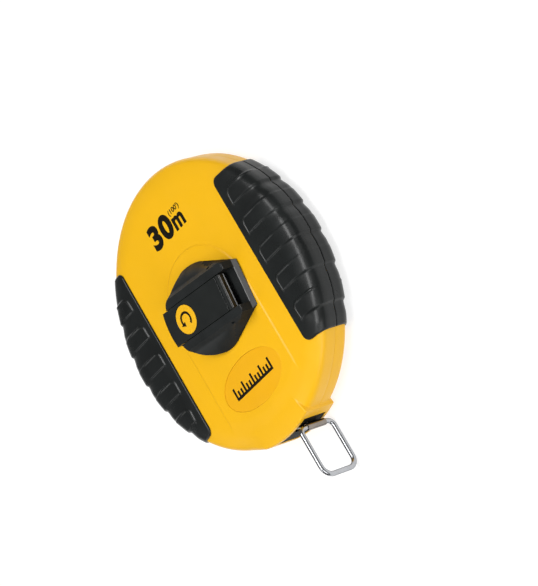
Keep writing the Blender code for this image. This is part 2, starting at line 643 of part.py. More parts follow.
def make_knob(hinge, knob_axis, sticker_floor):
    """The knob and its rivet. Heights are measured from the hinge axis, like the arm's."""
    top = KNOB_TOP_Z - HINGE_Z
    tip = KNOB_BOTTOM_Z - HINGE_Z
    bore = SPINDLE_RADIUS + GAP
    rivet_pocket = SPINDLE_HEAD_RADIUS + GAP
    pocket_top = tip + 1.4 * MM
    section = [(bore, top), (KNOB_RADIUS - 0.8 * MM, top), (KNOB_RADIUS, top - 0.8 * MM),
               (KNOB_RADIUS, tip + 5.4 * MM), (KNOB_RADIUS - 0.5 * MM, tip + 2.8 * MM),
               (KNOB_TIP_RADIUS, tip + 0.6 * MM), (KNOB_TIP_RADIUS - 0.7 * MM, tip),
               (rivet_pocket, tip), (rivet_pocket, pocket_top), (bore, pocket_top)]
    add_turned("crank_knob", section, 32, BLACK_PLASTIC, 0.4, parent=knob_axis)

    head_top = sticker_floor - GAP
    head_bottom = sticker_floor - SPINDLE_HEAD_HEIGHT + GAP
    tail_top = pocket_top - GAP
    tail_bottom = tip + 0.2 * MM
    section = [(0.0, head_top), (SPINDLE_HEAD_RADIUS, head_top), (SPINDLE_HEAD_RADIUS, head_bottom),
               (SPINDLE_RADIUS, head_bottom), (SPINDLE_RADIUS, tail_top), (SPINDLE_TAIL_RADIUS, tail_top),
               (SPINDLE_TAIL_RADIUS, tail_bottom), (0.0, tail_bottom)]
    rivet = add_turned("knob_rivet", section, 20, STEEL, 0.3, 1.0, closed=False, parent=hinge)
    rivet.location.x = KNOB_X - HINGE_X


# ---------------------------------------------------------------- tape end and ring

def along_tape(distance, outward=0.0):
    """A point on the tape's exit line: distance from where it leaves the coil, and a sideways step."""
    radius = TAPE_LINE_RADIUS + outward
    x = radius * math.cos(TANGENT_ANGLE) - distance * math.sin(TANGENT_ANGLE)
    y = radius * math.sin(TANGENT_ANGLE) + distance * math.cos(TANGENT_ANGLE)
    return Vector((x, y))


def strip(start, end, inside, outside, half_width):
    """A flat strip along the exit line, between two distances and two sideways steps."""
    corners = (along_tape(start, inside), along_tape(end, inside), along_tape(end, outside),
               along_tape(start, outside))
    return plate([(point.x, point.y) for point in corners], MIDDLE_Z - half_width, MIDDLE_Z + half_width)


def rivet_frame(number):
    """Puts a rivet's axis across the tape, in metres from the world's origin."""
    point = along_tape(TAPE_RUN - RIVET_BACKSET)
    height = MIDDLE_Z + (number - 1.5) * RIVET_SPACING
    across = Matrix.Rotation(TANGENT_ANGLE, 4, "Z") @ Matrix.Rotation(math.radians(90), 4, "Y")
    return Matrix.Translation((point.x, point.y, height)) @ across


def shifted(mesh, origin):
    mesh.transform(Matrix.Translation(-origin))
    return mesh


def make_mouthpiece():
    block = sector(INSERT_INNER_RADIUS, INSERT_OUTER_RADIUS, MOUTH_START + MOUTH_ANGLE_GAP,
                   MOUTH_END - MOUTH_ANGLE_GAP, MIDDLE_Z - MOUTH_HALF_HEIGHT + GAP,
                   MIDDLE_Z + MOUTH_HALF_HEIGHT - GAP)
    mouthpiece = add_part("mouthpiece", block, BLACK_PLASTIC, 0.5)
    throat = TAPE_RUN - 22 * MM
    lip = INSERT_OUTER_RADIUS + 3 * MM
    lip_angle = MOUTH_END - math.radians(1.2)
    outline = [along_tape(throat, -2.2 * MM), along_tape(throat, 2.0 * MM), along_tape(TAPE_RUN, 2.0 * MM),
               Vector((lip * math.cos(lip_angle), lip * math.sin(lip_angle)))]
    slot = plate([(point.x, point.y) for point in outline], MIDDLE_Z - MOUTH_SLOT_HALF_HEIGHT,
                 MIDDLE_Z + MOUTH_SLOT_HALF_HEIGHT)
    cut(mouthpiece, add_cutter("tape_slot", slot))


def make_tape_end(ring_axis):
    half = TAPE_THICKNESS / 2
    holes = []
    for number in (1, 2):
        drill = cylinder(RIVET_RADIUS + GAP, -4 * MM, 4 * MM, segments=12)
        drill.transform(rivet_frame(number))
        holes.append(add_cutter(f"rivet_drill_{number}", drill))

    leader_end = TAPE_RUN - CLIP_RADIUS - GAP
    leader_mesh = strip(-LEADER_TAIL, leader_end, -half, half, TAPE_WIDTH / 2)
    leader = add_part("tape_leader", shifted(leader_mesh, RING_PIVOT), TAPE_WHITE, 0.5, parent=ring_axis)
    cut(leader, *holes)

    plate_inside = half + GAP
    plate_outside = plate_inside + CLIP_PLATE_THICKNESS
    barrel = cylinder(CLIP_RADIUS, -CLIP_HALF_LENGTH, CLIP_HALF_LENGTH, segments=24)
    clip = add_part("ring_clip", barrel, STEEL, 0.2, 1.0, parent=ring_axis)
    jaw = strip(TAPE_RUN - CLIP_PLATE_LENGTH, TAPE_RUN - 1.2 * MM, plate_inside, plate_outside,
                CLIP_HALF_LENGTH - 0.2 * MM)
    join(clip, add_cutter("clip_jaw", shifted(jaw, RING_PIVOT), parent=ring_axis))
    bore = cylinder(CLIP_BORE_RADIUS, -CLIP_HALF_LENGTH - 2 * MM, CLIP_HALF_LENGTH + 2 * MM, segments=16)
    cut(clip, add_cutter("clip_bore", bore, parent=ring_axis), *holes)

    under = -half - GAP
    over = plate_outside + GAP
    head = RIVET_HEAD_HEIGHT
    section = [(0.0, over + head), (RIVET_HEAD_RADIUS, over + head), (RIVET_HEAD_RADIUS, over),
               (RIVET_RADIUS, over), (RIVET_RADIUS, under), (RIVET_HEAD_RADIUS, under),
               (RIVET_HEAD_RADIUS, under - head), (0.0, under - head)]
    for number in (1, 2):
        rivet = add_turned(f"clip_rivet_{number}", section, 16, STEEL, 0.3, 1.0, closed=False,
                           parent=ring_axis)
        rivet.matrix_local = Matrix.Translation(-RING_PIVOT) @ rivet_frame(number)


def make_end_ring(ring_axis):
    """A closed wire loop: its near side runs through the clip, along Z."""
    end_y = -RING_LENGTH
    half = RING_HALF_WIDTH
    near = RING_TOP_BEND
    far = RING_END_BEND
    corners = [((-near, half - near), near, math.pi / 2, 0.0),
               ((end_y + far, half - far), far, math.pi / 2, math.pi),
               ((end_y + far, -half + far), far, math.pi, 1.5 * math.pi),
               ((-near, -half + near), near, 1.5 * math.pi, math.tau)]
    path = []
    for number, (centre, radius, start, end) in enumerate(corners):
        bend = arc(centre, radius, start, end, 6)
        path += bend[::-1] if number == 0 else bend
    curve = bpy.data.curves.new("end_ring", "CURVE")
    curve.dimensions = "3D"
    curve.bevel_depth = RING_WIRE_RADIUS
    curve.bevel_resolution = 2
    spline = curve.splines.new("POLY")
    spline.points.add(len(path) - 1)
    for point, (y, z) in zip(spline.points, path):
        point.co = (0.0, y, z, 1.0)
    spline.use_cyclic_u = True
    ring = bpy.data.objects.new("end_ring", curve)
    curve.materials.append(new_material("end_ring", STEEL, 0.12, 1.0))
    ring.parent = ring_axis
    PARTS.objects.link(ring)


clear_scene()
PARTS = new_collection("surveyor_tape_reel")
CUTTERS = new_collection("cutters")

crank_axis = new_empty("crank_axis", (0, 0, 0), turn=CRANK_ANGLE)
arm_hinge = new_empty("arm_hinge", (HINGE_X, 0, HINGE_Z), parent=crank_axis)
knob_spindle = new_empty("knob_spindle", (KNOB_X - HINGE_X, 0, 0), parent=arm_hinge)
ring_pivot = new_empty("ring_pivot", RING_PIVOT)

make_case()
make_case_screws()
make_grips()
make_badge()
make_spool(crank_axis)
make_rotor(crank_axis)
label_floor = make_arm(arm_hinge)
make_knob(arm_hinge, knob_spindle, label_floor)
make_mouthpiece()
make_tape_end(ring_pivot)
make_end_ring(ring_pivot)
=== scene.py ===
"""The look of the surveyor's tape reel: detailed pieces, print, materials, light and camera.

Everything is in the CAD's frame: metres, the reel on its back on the floor at z = 0, +Z out of
the crank side, +X across the grips and the tape's mouth at -Y. Crank pieces are drawn in the
crank's own frame, with +X from the drum axis to the arm's hinge, and then turned into place.
"""
import json
import math

import bmesh
import bpy
import numpy as np
from mathutils import Matrix, Vector


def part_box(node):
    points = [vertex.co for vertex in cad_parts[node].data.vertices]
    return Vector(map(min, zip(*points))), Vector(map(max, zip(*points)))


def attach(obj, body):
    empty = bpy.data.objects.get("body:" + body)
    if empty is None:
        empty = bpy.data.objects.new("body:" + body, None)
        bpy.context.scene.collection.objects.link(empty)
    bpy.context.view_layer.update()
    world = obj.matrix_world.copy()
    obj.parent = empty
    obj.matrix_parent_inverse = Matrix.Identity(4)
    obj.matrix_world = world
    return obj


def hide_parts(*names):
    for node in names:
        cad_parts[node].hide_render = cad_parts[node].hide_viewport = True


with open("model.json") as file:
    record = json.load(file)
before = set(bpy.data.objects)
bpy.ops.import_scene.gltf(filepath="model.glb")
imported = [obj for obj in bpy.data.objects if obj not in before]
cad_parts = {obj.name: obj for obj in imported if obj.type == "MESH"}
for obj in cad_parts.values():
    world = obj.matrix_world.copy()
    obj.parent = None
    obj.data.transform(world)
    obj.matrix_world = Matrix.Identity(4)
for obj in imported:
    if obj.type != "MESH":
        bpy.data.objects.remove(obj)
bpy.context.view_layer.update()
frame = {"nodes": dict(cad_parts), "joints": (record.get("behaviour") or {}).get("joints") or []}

MM = 0.001
GAP = 0.3 * MM

# ---------------------------------------------------------------- places from the frame

JOINTS = {joint["name"]: joint for joint in frame["joints"]}
HINGE_POINT = Vector(JOINTS["arm_fold"]["pos_m"])
KNOB_POINT = Vector(JOINTS["knob_spin"]["pos_m"])
RING_PIVOT = Vector(JOINTS["ring_swing"]["pos_m"])
TAPE_DIRECTION = Vector(JOINTS["tape_pull"]["axis"]).normalized()
CRANK_TURN = Matrix.Rotation(math.atan2(HINGE_POINT.y, HINGE_POINT.x), 4, "Z")
HINGE_X = HINGE_POINT.xy.length
HINGE_Z = HINGE_POINT.z
KNOB_X = -KNOB_POINT.xy.length

MIDDLE_Z = RING_PIVOT.z
RIM_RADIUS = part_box("back_case")[1].x
HUB_FACE_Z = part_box("front_case")[1].z
ROTOR_TOP_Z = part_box("crank_rotor")[1].z
ROTOR_BOSS_BOTTOM_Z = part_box("crank_rotor")[0].z

# ---------------------------------------------------------------- sizes

# Case section, with heights from the middle plane
FACE_HALF = 10.7 * MM
FACE_RADIUS = 63.0 * MM
SHOULDER_RADIUS = 28.4 * MM
RIM_EDGE_RADIUS = 4.0 * MM
CASE_WALL = 1.5 * MM
SEAM_CHAMFER = 0.12 * MM
SEAM_GAP = 0.08 * MM
HUB_OPENING_RADIUS = 20.4 * MM
HUB_LIP_RADIUS = 0.4 * MM
PLATEAU_RADIUS = 31.7 * MM
PLATEAU_RISE = HUB_FACE_Z - MIDDLE_Z - FACE_HALF
PLATEAU_SLOPE = 1.3 * MM
PLATEAU_FADE = (58.0 * MM, 66.0 * MM)
BACK_PAD_RISE = MIDDLE_Z - FACE_HALF
BACK_PAD_SLOPE = 1.6 * MM

# The lug that the mouth sits in
LUG_HALF_ANGLE = math.radians(15.5)
LUG_LEFT_FADE = math.radians(2.5)
LUG_LEFT_STEP = 0.14
LUG_LEFT_SPREAD = (math.radians(-10.0), math.radians(4.5))
LUG_RIGHT_FADE = math.radians(1.1)
LUG_RADIUS = 76.2 * MM
LUG_DROP = 0.6 * MM
LUG_EDGE_RADIUS = 0.8 * MM
MOUTH_START = math.radians(-99.3)
MOUTH_END = math.radians(-79.3)
MOUTH_HALF_HEIGHT = 7.8 * MM
MOUTH_SLOT_HALF_HEIGHT = 6.9 * MM
INSERT_INNER_RADIUS = 71.0 * MM
INSERT_OUTER_RADIUS = 75.9 * MM
INSERT_ROUNDING = 0.35 * MM
SLOT_LENGTH = 22.0 * MM
SLOT_OUTER_SIDE = 2.2 * MM
SLOT_INNER_SIDE = 2.0 * MM
SLOT_LIP_ANGLE = math.radians(1.2)

# Grips
GRIP_INNER_X = 45.8 * MM
GRIP_PLAIN_WIDTH = 8.0 * MM
GRIP_TOP_RIGHT_Y = 46.6 * MM
GRIP_TOP_LEFT_Y = 49.4 * MM
GRIP_BOTTOM_Y = -48.6 * MM
GRIP_CORNER_RADIUS = 4.0 * MM
GRIP_HEIGHT = 1.2 * MM
GRIP_UNDERSIDE = 0.4 * MM
GRIP_EDGE_RADIUS = 1.0 * MM
GRIP_RIM_EDGE_RADIUS = 5.5 * MM
GRIP_SEAM_RADIUS = 0.45 * MM
PANEL_PITCH = 16.75 * MM
PANEL_FIRST_Y = 37.2 * MM
PANEL_COUNT = 5
PANEL_LENGTH = 7.6 * MM
PANEL_INSET = 4.6 * MM
PANEL_CORNER_RADIUS = 3.2 * MM
PANEL_EDGE = 0.9 * MM
PANEL_RISE = 0.25 * MM
BEAD_HALF_WIDTH = 0.95 * MM
BEAD_HEIGHT = 0.38 * MM
BEAD_LEG = (7.2 * MM, 10.0 * MM)
BEAD_END = (16.0 * MM, 22.0 * MM)
PANEL_LEAD = 2.0 * MM
VALLEY_FADE = 5.0 * MM
VALLEY_DEPTH_FACE = 0.3 * MM
VALLEY_DEPTH_RIM = 0.75 * MM

# Badge and print
BADGE_Y = -42.9 * MM
BADGE_HALF_LENGTH = 24.9 * MM
BADGE_HALF_WIDTH = 12.8 * MM
BADGE_DEPTH = 0.8 * MM
BADGE_GAP = 0.1 * MM
BADGE_SUNK = 0.1 * MM
BADGE_ROUNDING = 0.12 * MM
SCALE_DROP = 3.2 * MM
SCALE_LINE_WIDTH = 1.5 * MM
SCALE_MARK_WIDTH = 1.45 * MM
SCALE_PITCH = 2.7 * MM
SCALE_LONG = 6.8 * MM
SCALE_SHORT = 4.4 * MM
SCALE_MARKS_PER_SIDE = 6
SCALE_LONG_EVERY = 3
PRINT_THICKNESS = 0.03 * MM

# Screws seen from the back
# Places round the case in degrees, and how far each driver slot is turned, in radians
SCREW_ANGLES = (55.0, 125.0, -55.0, -125.0)
SCREW_SLOT_TURNS = (55.0, 125.0, -55.0, -125.0)
SCREW_CIRCLE = 69.8 * MM
SCREW_HEAD_RADIUS = 2.4 * MM
SCREW_HEAD_HEIGHT = 1.5 * MM
SCREW_SEAT_Z = 5.2 * MM
SCREW_SHANK_RADIUS = 1.3 * MM
SCREW_SLOT_WIDTH = 0.9 * MM
SCREW_SLOT_INSET = 0.5 * MM
SCREW_SLOT_DEPTH = 0.8 * MM
SCREW_DOME_RADIUS = 0.7 * MM
SCREW_LENGTH = 5.0 * MM
SCREW_POINT = 6.0 * MM

# Crank
ROTOR_BOTTOM_Z = HUB_FACE_Z + GAP
ROTOR_RADIUS = 23.6 * MM
ROTOR_FLAT_START = math.radians(104)
ROTOR_FLAT_END = math.radians(148)
ROTOR_END_X = 32.1 * MM
ROTOR_END_HALF_WIDTH = 12.4 * MM
ROTOR_BOSS_RADIUS = 20.0 * MM
RAIL_END_X = 29.6 * MM
RIDGE_Y = 13.9 * MM
FLANK_BREAK_Y = 15.6 * MM
FLANK_BREAK_DROP = 1.5 * MM
FLANK_LEAST_WIDTH = 0.6 * MM
FLANK_BLEND = (-4.0 * MM, 2.0 * MM)
FLANK_PAST_FOOT = 1.25
ROTOR_ROUNDING = 0.32 * MM
NOTCH_X = 19.0 * MM
NOTCH_Y = 15.0 * MM
NOTCH_HALF_LENGTH = 1.1 * MM
NOTCH_HALF_WIDTH = 0.45 * MM
NOTCH_FLOOR_Z = 30.7 * MM
FLANK_FOOT_Y = 24.6 * MM
FLANK_BOW = 0.9 * MM
FLANK_FOOT_Z = HUB_FACE_Z + 1.1 * MM
END_EDGE_X = 30.0 * MM
END_FOOT_X = 32.6 * MM
END_FOOT_Z = HUB_FACE_Z
CHANNEL_HALF_WIDTH = 9.6 * MM
CHANNEL_FLOOR_Z = 28.6 * MM
POCKET_START_X = 17.4 * MM
POCKET_END_X = 29.9 * MM
POCKET_FLOOR_Z = 25.5 * MM
WELL_RADIUS = 8.0 * MM
WELL_BOTTOM_Z = 17.2 * MM
PIN_RADIUS = 1.2 * MM
PIN_HALF_LENGTH = 13.2 * MM
KNUCKLE_RADIUS = 3.3 * MM
BARREL_RADIUS = KNUCKLE_RADIUS - 0.3 * MM
ARM_TOP_Z = HINGE_Z + KNUCKLE_RADIUS
ARM_ROUNDING = 0.28 * MM
# (x, z) from the hinge; inside 3.8 mm, so that the block clears the pocket's floor as it turns
KNUCKLE_BLOCK = ((-1.0 * MM, 0.0), (-0.2 * MM, BARREL_RADIUS), (2.7 * MM, 2.6 * MM), (3.0 * MM, 0.0))
# The end wall stays below the arm when that is folded out
END_EDGE_Z = HINGE_Z - KNUCKLE_RADIUS - GAP
# Cutters reach this far past the rotor: left and sideways, right, and up
CUT_REACH = 30.0 * MM
CUT_END_X = 40.0 * MM
CUT_TOP_Z = ROTOR_TOP_Z + 5.0 * MM
# Edge strips whose lighter, glossier plastic paints highlights along the edges, as (x, z) of each strip's
# high and low side: from the hinge, the rails' and the wall's corner
ARM_HIGHLIGHT_STRIPS = (((-0.3 * MM, 3.32 * MM), (0.0, 3.17 * MM)), ((2.3 * MM, 2.75 * MM), (3.1 * MM, 2.2 * MM)),
                  ((3.15 * MM, 0.1 * MM), (3.55 * MM, -0.15 * MM)))
RAIL_HIGHLIGHT_STRIP = ((-0.4 * MM, 0.01 * MM), (0.12 * MM, -0.27 * MM))
WALL_HIGHLIGHT_STRIP = ((-0.1 * MM, 0.06 * MM), (0.3 * MM, -0.16 * MM))
HIGHLIGHT_STRIP_DEPTH = 0.5 * MM
HIGHLIGHT_STRIP_INSET = 0.5 * MM
RAIL_HIGHLIGHT_Y = CHANNEL_HALF_WIDTH + 1.6 * MM
RAIL_HIGHLIGHT_HALF_LENGTH = 1.3 * MM
# Which of the rotor's faces are walls or its end face, which get lighter copies of its plastic as painted
# reflected light and a painted highlight: least share outwards, and most share upwards
WALL_OUTWARDS = 0.4
WALL_UPWARDS = 0.5
END_FACE_UPWARDS = 0.95
ARM_HALF_WIDTH = 9.25 * MM
ARM_END_X = -26.2 * MM
ARM_BOTTOM_Z = 28.9 * MM
TAB_BULGE = 1.2 * MM
STICKER_RADIUS = 7.5 * MM
STICKER_DEPTH = 0.6 * MM
STICKER_RISE = 0.05 * MM
STICKER_ROUNDING = 0.1 * MM
ARROW_RADIUS = 3.6 * MM
ARROW_HALF_WIDTH = 0.65 * MM
ARROW_HEAD_HALF_WIDTH = 1.9 * MM
# Where the arrow's band starts and ends, and where its tip is
ARROW_ANGLES = (math.radians(-50), math.radians(200), math.radians(200) + math.radians(42))
SPINDLE_RADIUS = 1.5 * MM
SPINDLE_HEAD_RADIUS = 3.0 * MM
SPINDLE_HEAD_HEIGHT = 1.2 * MM
SPINDLE_TAIL_RADIUS = 2.8 * MM
KNOB_RADIUS = 7.0 * MM
KNOB_TIP_RADIUS = 5.6 * MM
KNOB_TOP_Z = 28.5 * MM
KNOB_BOTTOM_Z = 17.8 * MM

# Tape end and ring
TAPE_WIDTH = 12.8 * MM
TAPE_THICKNESS = 0.5 * MM
LEADER_LENGTH = 47.9 * MM
CLIP_RADIUS = 1.85 * MM
CLIP_BORE_RADIUS = 1.45 * MM
CLIP_HALF_LENGTH = 6.2 * MM
CLIP_PLATE_LENGTH = 9.0 * MM
CLIP_PLATE_THICKNESS = 0.5 * MM
RIVET_RADIUS = 0.8 * MM
RIVET_HEAD_RADIUS = 1.5 * MM
RIVET_BACKSET = 5.0 * MM
RIVET_SPACING = 7.0 * MM
RIVET_LIFT = 0.05 * MM
RIVET_DOME_HEIGHT = 0.45 * MM
TAPE_MARK_COUNT = 18
TAPE_MARK_PITCH = 2.5 * MM
TAPE_MARK_HALF_WIDTH = 0.15 * MM
TAPE_MARK_INSET = 0.3 * MM
TAPE_MARK_LONG = 5.5 * MM
TAPE_MARK_SHORT = 3.2 * MM
TAPE_MARK_LONG_EVERY = 4
RING_LENGTH = 26.4 * MM
RING_HALF_WIDTH = 11.1 * MM
RING_WIRE_RADIUS = 1.33 * MM
RING_NEAR_BEND = 3.4 * MM
RING_FAR_BEND = 5.4 * MM

# Camera: where it stands round the drum's middle, how it is rolled, and where it aims beside it
CAMERA_AZIMUTH = math.radians(-20.4)
CAMERA_ELEVATION = math.radians(42.6)
CAMERA_ROLL = math.radians(-106.3)
CAMERA_DISTANCE = 1.344
CAMERA_AIM_RIGHT = 21.1 * MM
CAMERA_AIM_UP = 4.8 * MM
CAMERA_LENS = 164.7


# ---------------------------------------------------------------- material nodes

class Shader:
    """A material's node tree, with the few nodes that the materials here share."""

    def __init__(self, name, colour, roughness, metallic=0.0):
        self.material = bpy.data.materials.new(name)
        self.material.use_nodes = True
        self.tree = self.material.node_tree
        self.bsdf = self.tree.nodes["Principled BSDF"]
        self.bsdf.inputs["Base Color"].default_value = (*colour, 1.0)
        self.bsdf.inputs["Roughness"].default_value = roughness
        self.bsdf.inputs["Metallic"].default_value = metallic
        self.colour = colour
        self.roughness = roughness
        self.place = self.tree.nodes.new("ShaderNodeTexCoord").outputs["Object"]

    def node(self, kind, **settings):
        node = self.tree.nodes.new(kind)
        for name, value in settings.items():
            setattr(node, name, value)
        return node

    def link(self, source, target):
        self.tree.links.new(source, target)

    def stretched(self, scale):
        mapping = self.node("ShaderNodeMapping")
        mapping.inputs["Scale"].default_value = scale
        self.link(self.place, mapping.inputs["Vector"])
        return mapping.outputs["Vector"]

    def noise(self, scale, detail=2.0, place=None):
        noise = self.node("ShaderNodeTexNoise")
        noise.inputs["Scale"].default_value = scale
        noise.inputs["Detail"].default_value = detail
        self.link(place or self.place, noise.inputs["Vector"])
        return noise.outputs["Fac"]

    def ramp(self, value, low, high, low_out, high_out):
        ramp = self.node("ShaderNodeMapRange")
        for name, number in (("From Min", low), ("From Max", high), ("To Min", low_out),
                             ("To Max", high_out)):
            ramp.inputs[name].default_value = number
        self.link(value, ramp.inputs["Value"])
        return ramp.outputs["Result"]

    def blend_colour(self, factor, first, second):
        mix = self.node("ShaderNodeMix", data_type="RGBA")
        mix.inputs[6].default_value = (*first, 1.0)
        mix.inputs[7].default_value = (*second, 1.0)
        self.link(factor, mix.inputs[0])
        return mix.outputs[2]

    def vary_colour(self, scale, amount):
        """Slow lighter and darker patches, as a moulding or a coating has."""
        darker = [channel * (1.0 - amount) for channel in self.colour]
        lighter = [min(1.0, channel * (1.0 + amount)) for channel in self.colour]
        patches = self.ramp(self.noise(scale, 3.0), 0.3, 0.7, 0.0, 1.0)
        self.link(self.blend_colour(patches, darker, lighter), self.bsdf.inputs["Base Color"])

    def vary_roughness(self, scale, amount, place=None):
        patches = self.noise(scale, 4.0, place)
        low = self.roughness - amount
        high = self.roughness + amount
        self.link(self.ramp(patches, 0.3, 0.7, low, high), self.bsdf.inputs["Roughness"])

    def bump(self, height, depth, normal=None):
        bump = self.node("ShaderNodeBump")
        bump.inputs["Strength"].default_value = 1.0
        bump.inputs["Distance"].default_value = depth
        self.link(height, bump.inputs["Height"])
        if normal:
            self.link(normal, bump.inputs["Normal"])
        self.link(bump.outputs["Normal"], self.bsdf.inputs["Normal"])
        return bump.outputs["Normal"]


def case_plastic(name, colour):
    """Yellow moulded plastic: a faint spark-eroded grain and hardly any change of colour."""
    shader = Shader(name, colour, 0.36)
    shader.vary_colour(28.0, 0.025)
    shader.vary_roughness(160.0, 0.05)
    grain = shader.bump(shader.noise(2600.0, 1.0), 0.012 * MM)
    shader.bump(shader.noise(120.0, 1.0), 0.02 * MM, grain)
    shader.bsdf.inputs["Specular IOR Level"].default_value = 0.4
    return shader.material


def grip_rubber():
    """Soft black rubber: a matt pebble grain, with paler dust in patches."""
    shader = Shader("grip_rubber", (0.0125, 0.0142, 0.0140), 0.3)
    shader.vary_colour(70.0, 0.22)
    shader.vary_roughness(90.0, 0.05)
    pebbles = shader.node("ShaderNodeTexVoronoi")
    pebbles.inputs["Scale"].default_value = 1900.0
    shader.link(shader.place, pebbles.inputs["Vector"])
    grain = shader.bump(pebbles.outputs["Distance"], 0.022 * MM)
    shader.bump(shader.noise(240.0, 2.0), 0.03 * MM, grain)
    shader.bsdf.inputs["Specular IOR Level"].default_value = 0.34
    return shader.material


def crank_plastic(name, colour, roughness, specular=0.35):
    """Black glass-filled nylon: a tight grain and slow shifts in gloss."""
    shader = Shader(name, colour, roughness)
    shader.vary_colour(90.0, 0.16)
    shader.vary_roughness(130.0, 0.06)
    grain = shader.bump(shader.noise(3200.0, 2.0), 0.012 * MM)
    shader.bump(shader.noise(210.0, 2.0), 0.02 * MM, grain)
    shader.bsdf.inputs["Specular IOR Level"].default_value = specular
    return shader.material


def spool_plastic():
    """Grey moulded plastic of the drum inside the case."""
    shader = Shader("spool_plastic", (0.16, 0.16, 0.17), 0.5)
    shader.vary_colour(60.0, 0.1)
    shader.vary_roughness(200.0, 0.08)
    shader.bump(shader.noise(900.0, 2.0), 0.02 * MM)
    return shader.material


def plated_wire():
    """Bright plating over drawn wire: soft streaks along the wire and a slight ripple."""
    shader = Shader("plated_wire", (0.45, 0.46, 0.48), 0.22, 1.0)
    shader.vary_colour(190.0, 0.06)
    shader.vary_roughness(700.0, 0.03)
    streaks = shader.noise(500.0, 3.0, shader.stretched((1.0, 0.12, 0.12)))
    ripple = shader.bump(streaks, 0.002 * MM)
    shader.bump(shader.noise(120.0, 1.0), 0.012 * MM, ripple)
    shader.bsdf.inputs["Specular Tint"].default_value = (0.3, 0.31, 0.33, 1.0)
    return shader.material


def rolled_steel():
    """The folded clip: rolled strip, with scratches along the fold."""
    shader = Shader("rolled_steel", (0.26, 0.232, 0.205), 0.15, 1.0)
    shader.vary_colour(260.0, 0.08)
    shader.vary_roughness(900.0, 0.08, shader.stretched((1.0, 1.0, 0.08)))
    scratches = shader.noise(2400.0, 2.0, shader.stretched((1.0, 1.0, 0.05)))
    shader.bump(scratches, 0.008 * MM)
    return shader.material


def zinc_steel():
    """Zinc-plated fasteners: dull, slightly mottled."""
    shader = Shader("zinc_steel", (0.56, 0.57, 0.58), 0.34, 1.0)
    shader.vary_colour(800.0, 0.12)
    shader.vary_roughness(1200.0, 0.1)
    shader.bump(shader.noise(2200.0, 3.0), 0.01 * MM)
    return shader.material


def tape_coating():
    """Coated fibreglass tape: the woven glass shows through as fine lines both ways."""
    shader = Shader("tape_coating", (0.86, 0.83, 0.72), 0.42)
    shader.vary_colour(120.0, 0.05)
    shader.vary_roughness(400.0, 0.06)
    normal = None
    for direction in ("X", "Z"):
        threads = shader.node("ShaderNodeTexWave", bands_direction=direction)
        threads.inputs["Scale"].default_value = 420.0
        threads.inputs["Distortion"].default_value = 0.6
        shader.link(shader.place, threads.inputs["Vector"])
        normal = shader.bump(threads.outputs["Fac"], 0.02 * MM, normal)
    return shader.material


def print_ink():
    """Near-black ink for the print on the badge, the sticker and the tape."""
    shader = Shader("print_ink", (0.008, 0.006, 0.003), 0.45)
    shader.vary_colour(600.0, 0.3)
    shader.vary_roughness(1500.0, 0.08)
    shader.bump(shader.noise(2600.0, 1.0), 0.008 * MM)
    shader.bsdf.inputs["Specular IOR Level"].default_value = 0.2
    return shader.material


def printed_vinyl():
    """Yellow sticker vinyl, smoother than the case."""
    shader = Shader("printed_vinyl", (0.93, 0.50, 0.012), 0.3)
    shader.vary_colour(140.0, 0.03)
    shader.vary_roughness(300.0, 0.04)
    shader.bump(shader.noise(420.0, 2.0), 0.01 * MM)
    return shader.material


YELLOW_CASE = case_plastic("yellow_case", (0.93, 0.50, 0.007))
YELLOW_BADGE = case_plastic("yellow_badge", (0.90, 0.45, 0.006))
GRIP_RUBBER = grip_rubber()
BLACK_PLASTIC = crank_plastic("black_plastic", (0.0145, 0.0165, 0.0160), 0.34)
ROTOR_PLASTIC = crank_plastic("rotor_plastic", (0.0165, 0.0185, 0.0185), 0.40, 0.24)
# A lighter, matt copy of the rotor's plastic: painted reflected light on the rotor's walls
ROTOR_WALL_PAINTED_LIGHT = crank_plastic("rotor_wall_painted_light", (0.026, 0.029, 0.031), 0.6, 0.03)
# A lighter, glossier plastic: painted highlights on the rotor's end face and on the edge strips
PAINTED_HIGHLIGHT_PLASTIC = crank_plastic("painted_highlight_plastic", (0.050, 0.050, 0.049), 0.36, 0.6)
MOUTH_PLASTIC = crank_plastic("mouth_plastic", (0.016, 0.019, 0.017), 0.6, 0.08)
SPOOL_PLASTIC = spool_plastic()
PLATED_WIRE = plated_wire()
ROLLED_STEEL = rolled_steel()
ZINC_STEEL = zinc_steel()
TAPE_COATING = tape_coating()
PRINT_INK = print_ink()
PRINTED_VINYL = printed_vinyl()


# ---------------------------------------------------------------- mesh helpers

def linked(name, data):
    """A new object in the scene."""
    obj = bpy.data.objects.new(name, data)
    bpy.context.scene.collection.objects.link(obj)
    return obj


def piece(name, mesh, material, body, replaces=()):
    """A shown piece that rides on a body and stands for some CAD nodes."""
    mesh.name = name
    mesh.materials.clear()
    mesh.materials.append(material)
    obj = linked(name, mesh)
    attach(obj, body)
    if replaces:
        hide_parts(*replaces)
    return obj


def smoothed(mesh, angle):
    """Smooth shading, with edges sharp above an angle."""
    mesh.shade_smooth()
    mesh.set_sharp_from_angle(angle=math.radians(angle))
    return mesh


def mesh_from(bm, smooth_angle=35.0):
    """The mesh, with its faces turned outwards."""
    bmesh.ops.recalc_face_normals(bm, faces=bm.faces)
    mesh = bpy.data.meshes.new("shape")
    bm.to_mesh(mesh)
    bm.free()
    return smoothed(mesh, smooth_angle)


def joined(meshes):
    """Separate solids in one mesh."""
    bm = bmesh.new()
    for mesh in meshes:
        bm.from_mesh(mesh)
        bpy.data.meshes.remove(mesh)
    return mesh_from(bm)


def evaluated(mesh, modify):
    """The mesh after modifiers: modify(obj) adds them to an object that is then removed."""
    obj = linked("work", mesh)
    helpers = modify(obj) or []
    result = bpy.data.meshes.new_from_object(obj.evaluated_get(bpy.context.evaluated_depsgraph_get()))
    for used in [obj] + helpers:
        bpy.data.objects.remove(used, do_unlink=True)
    return result


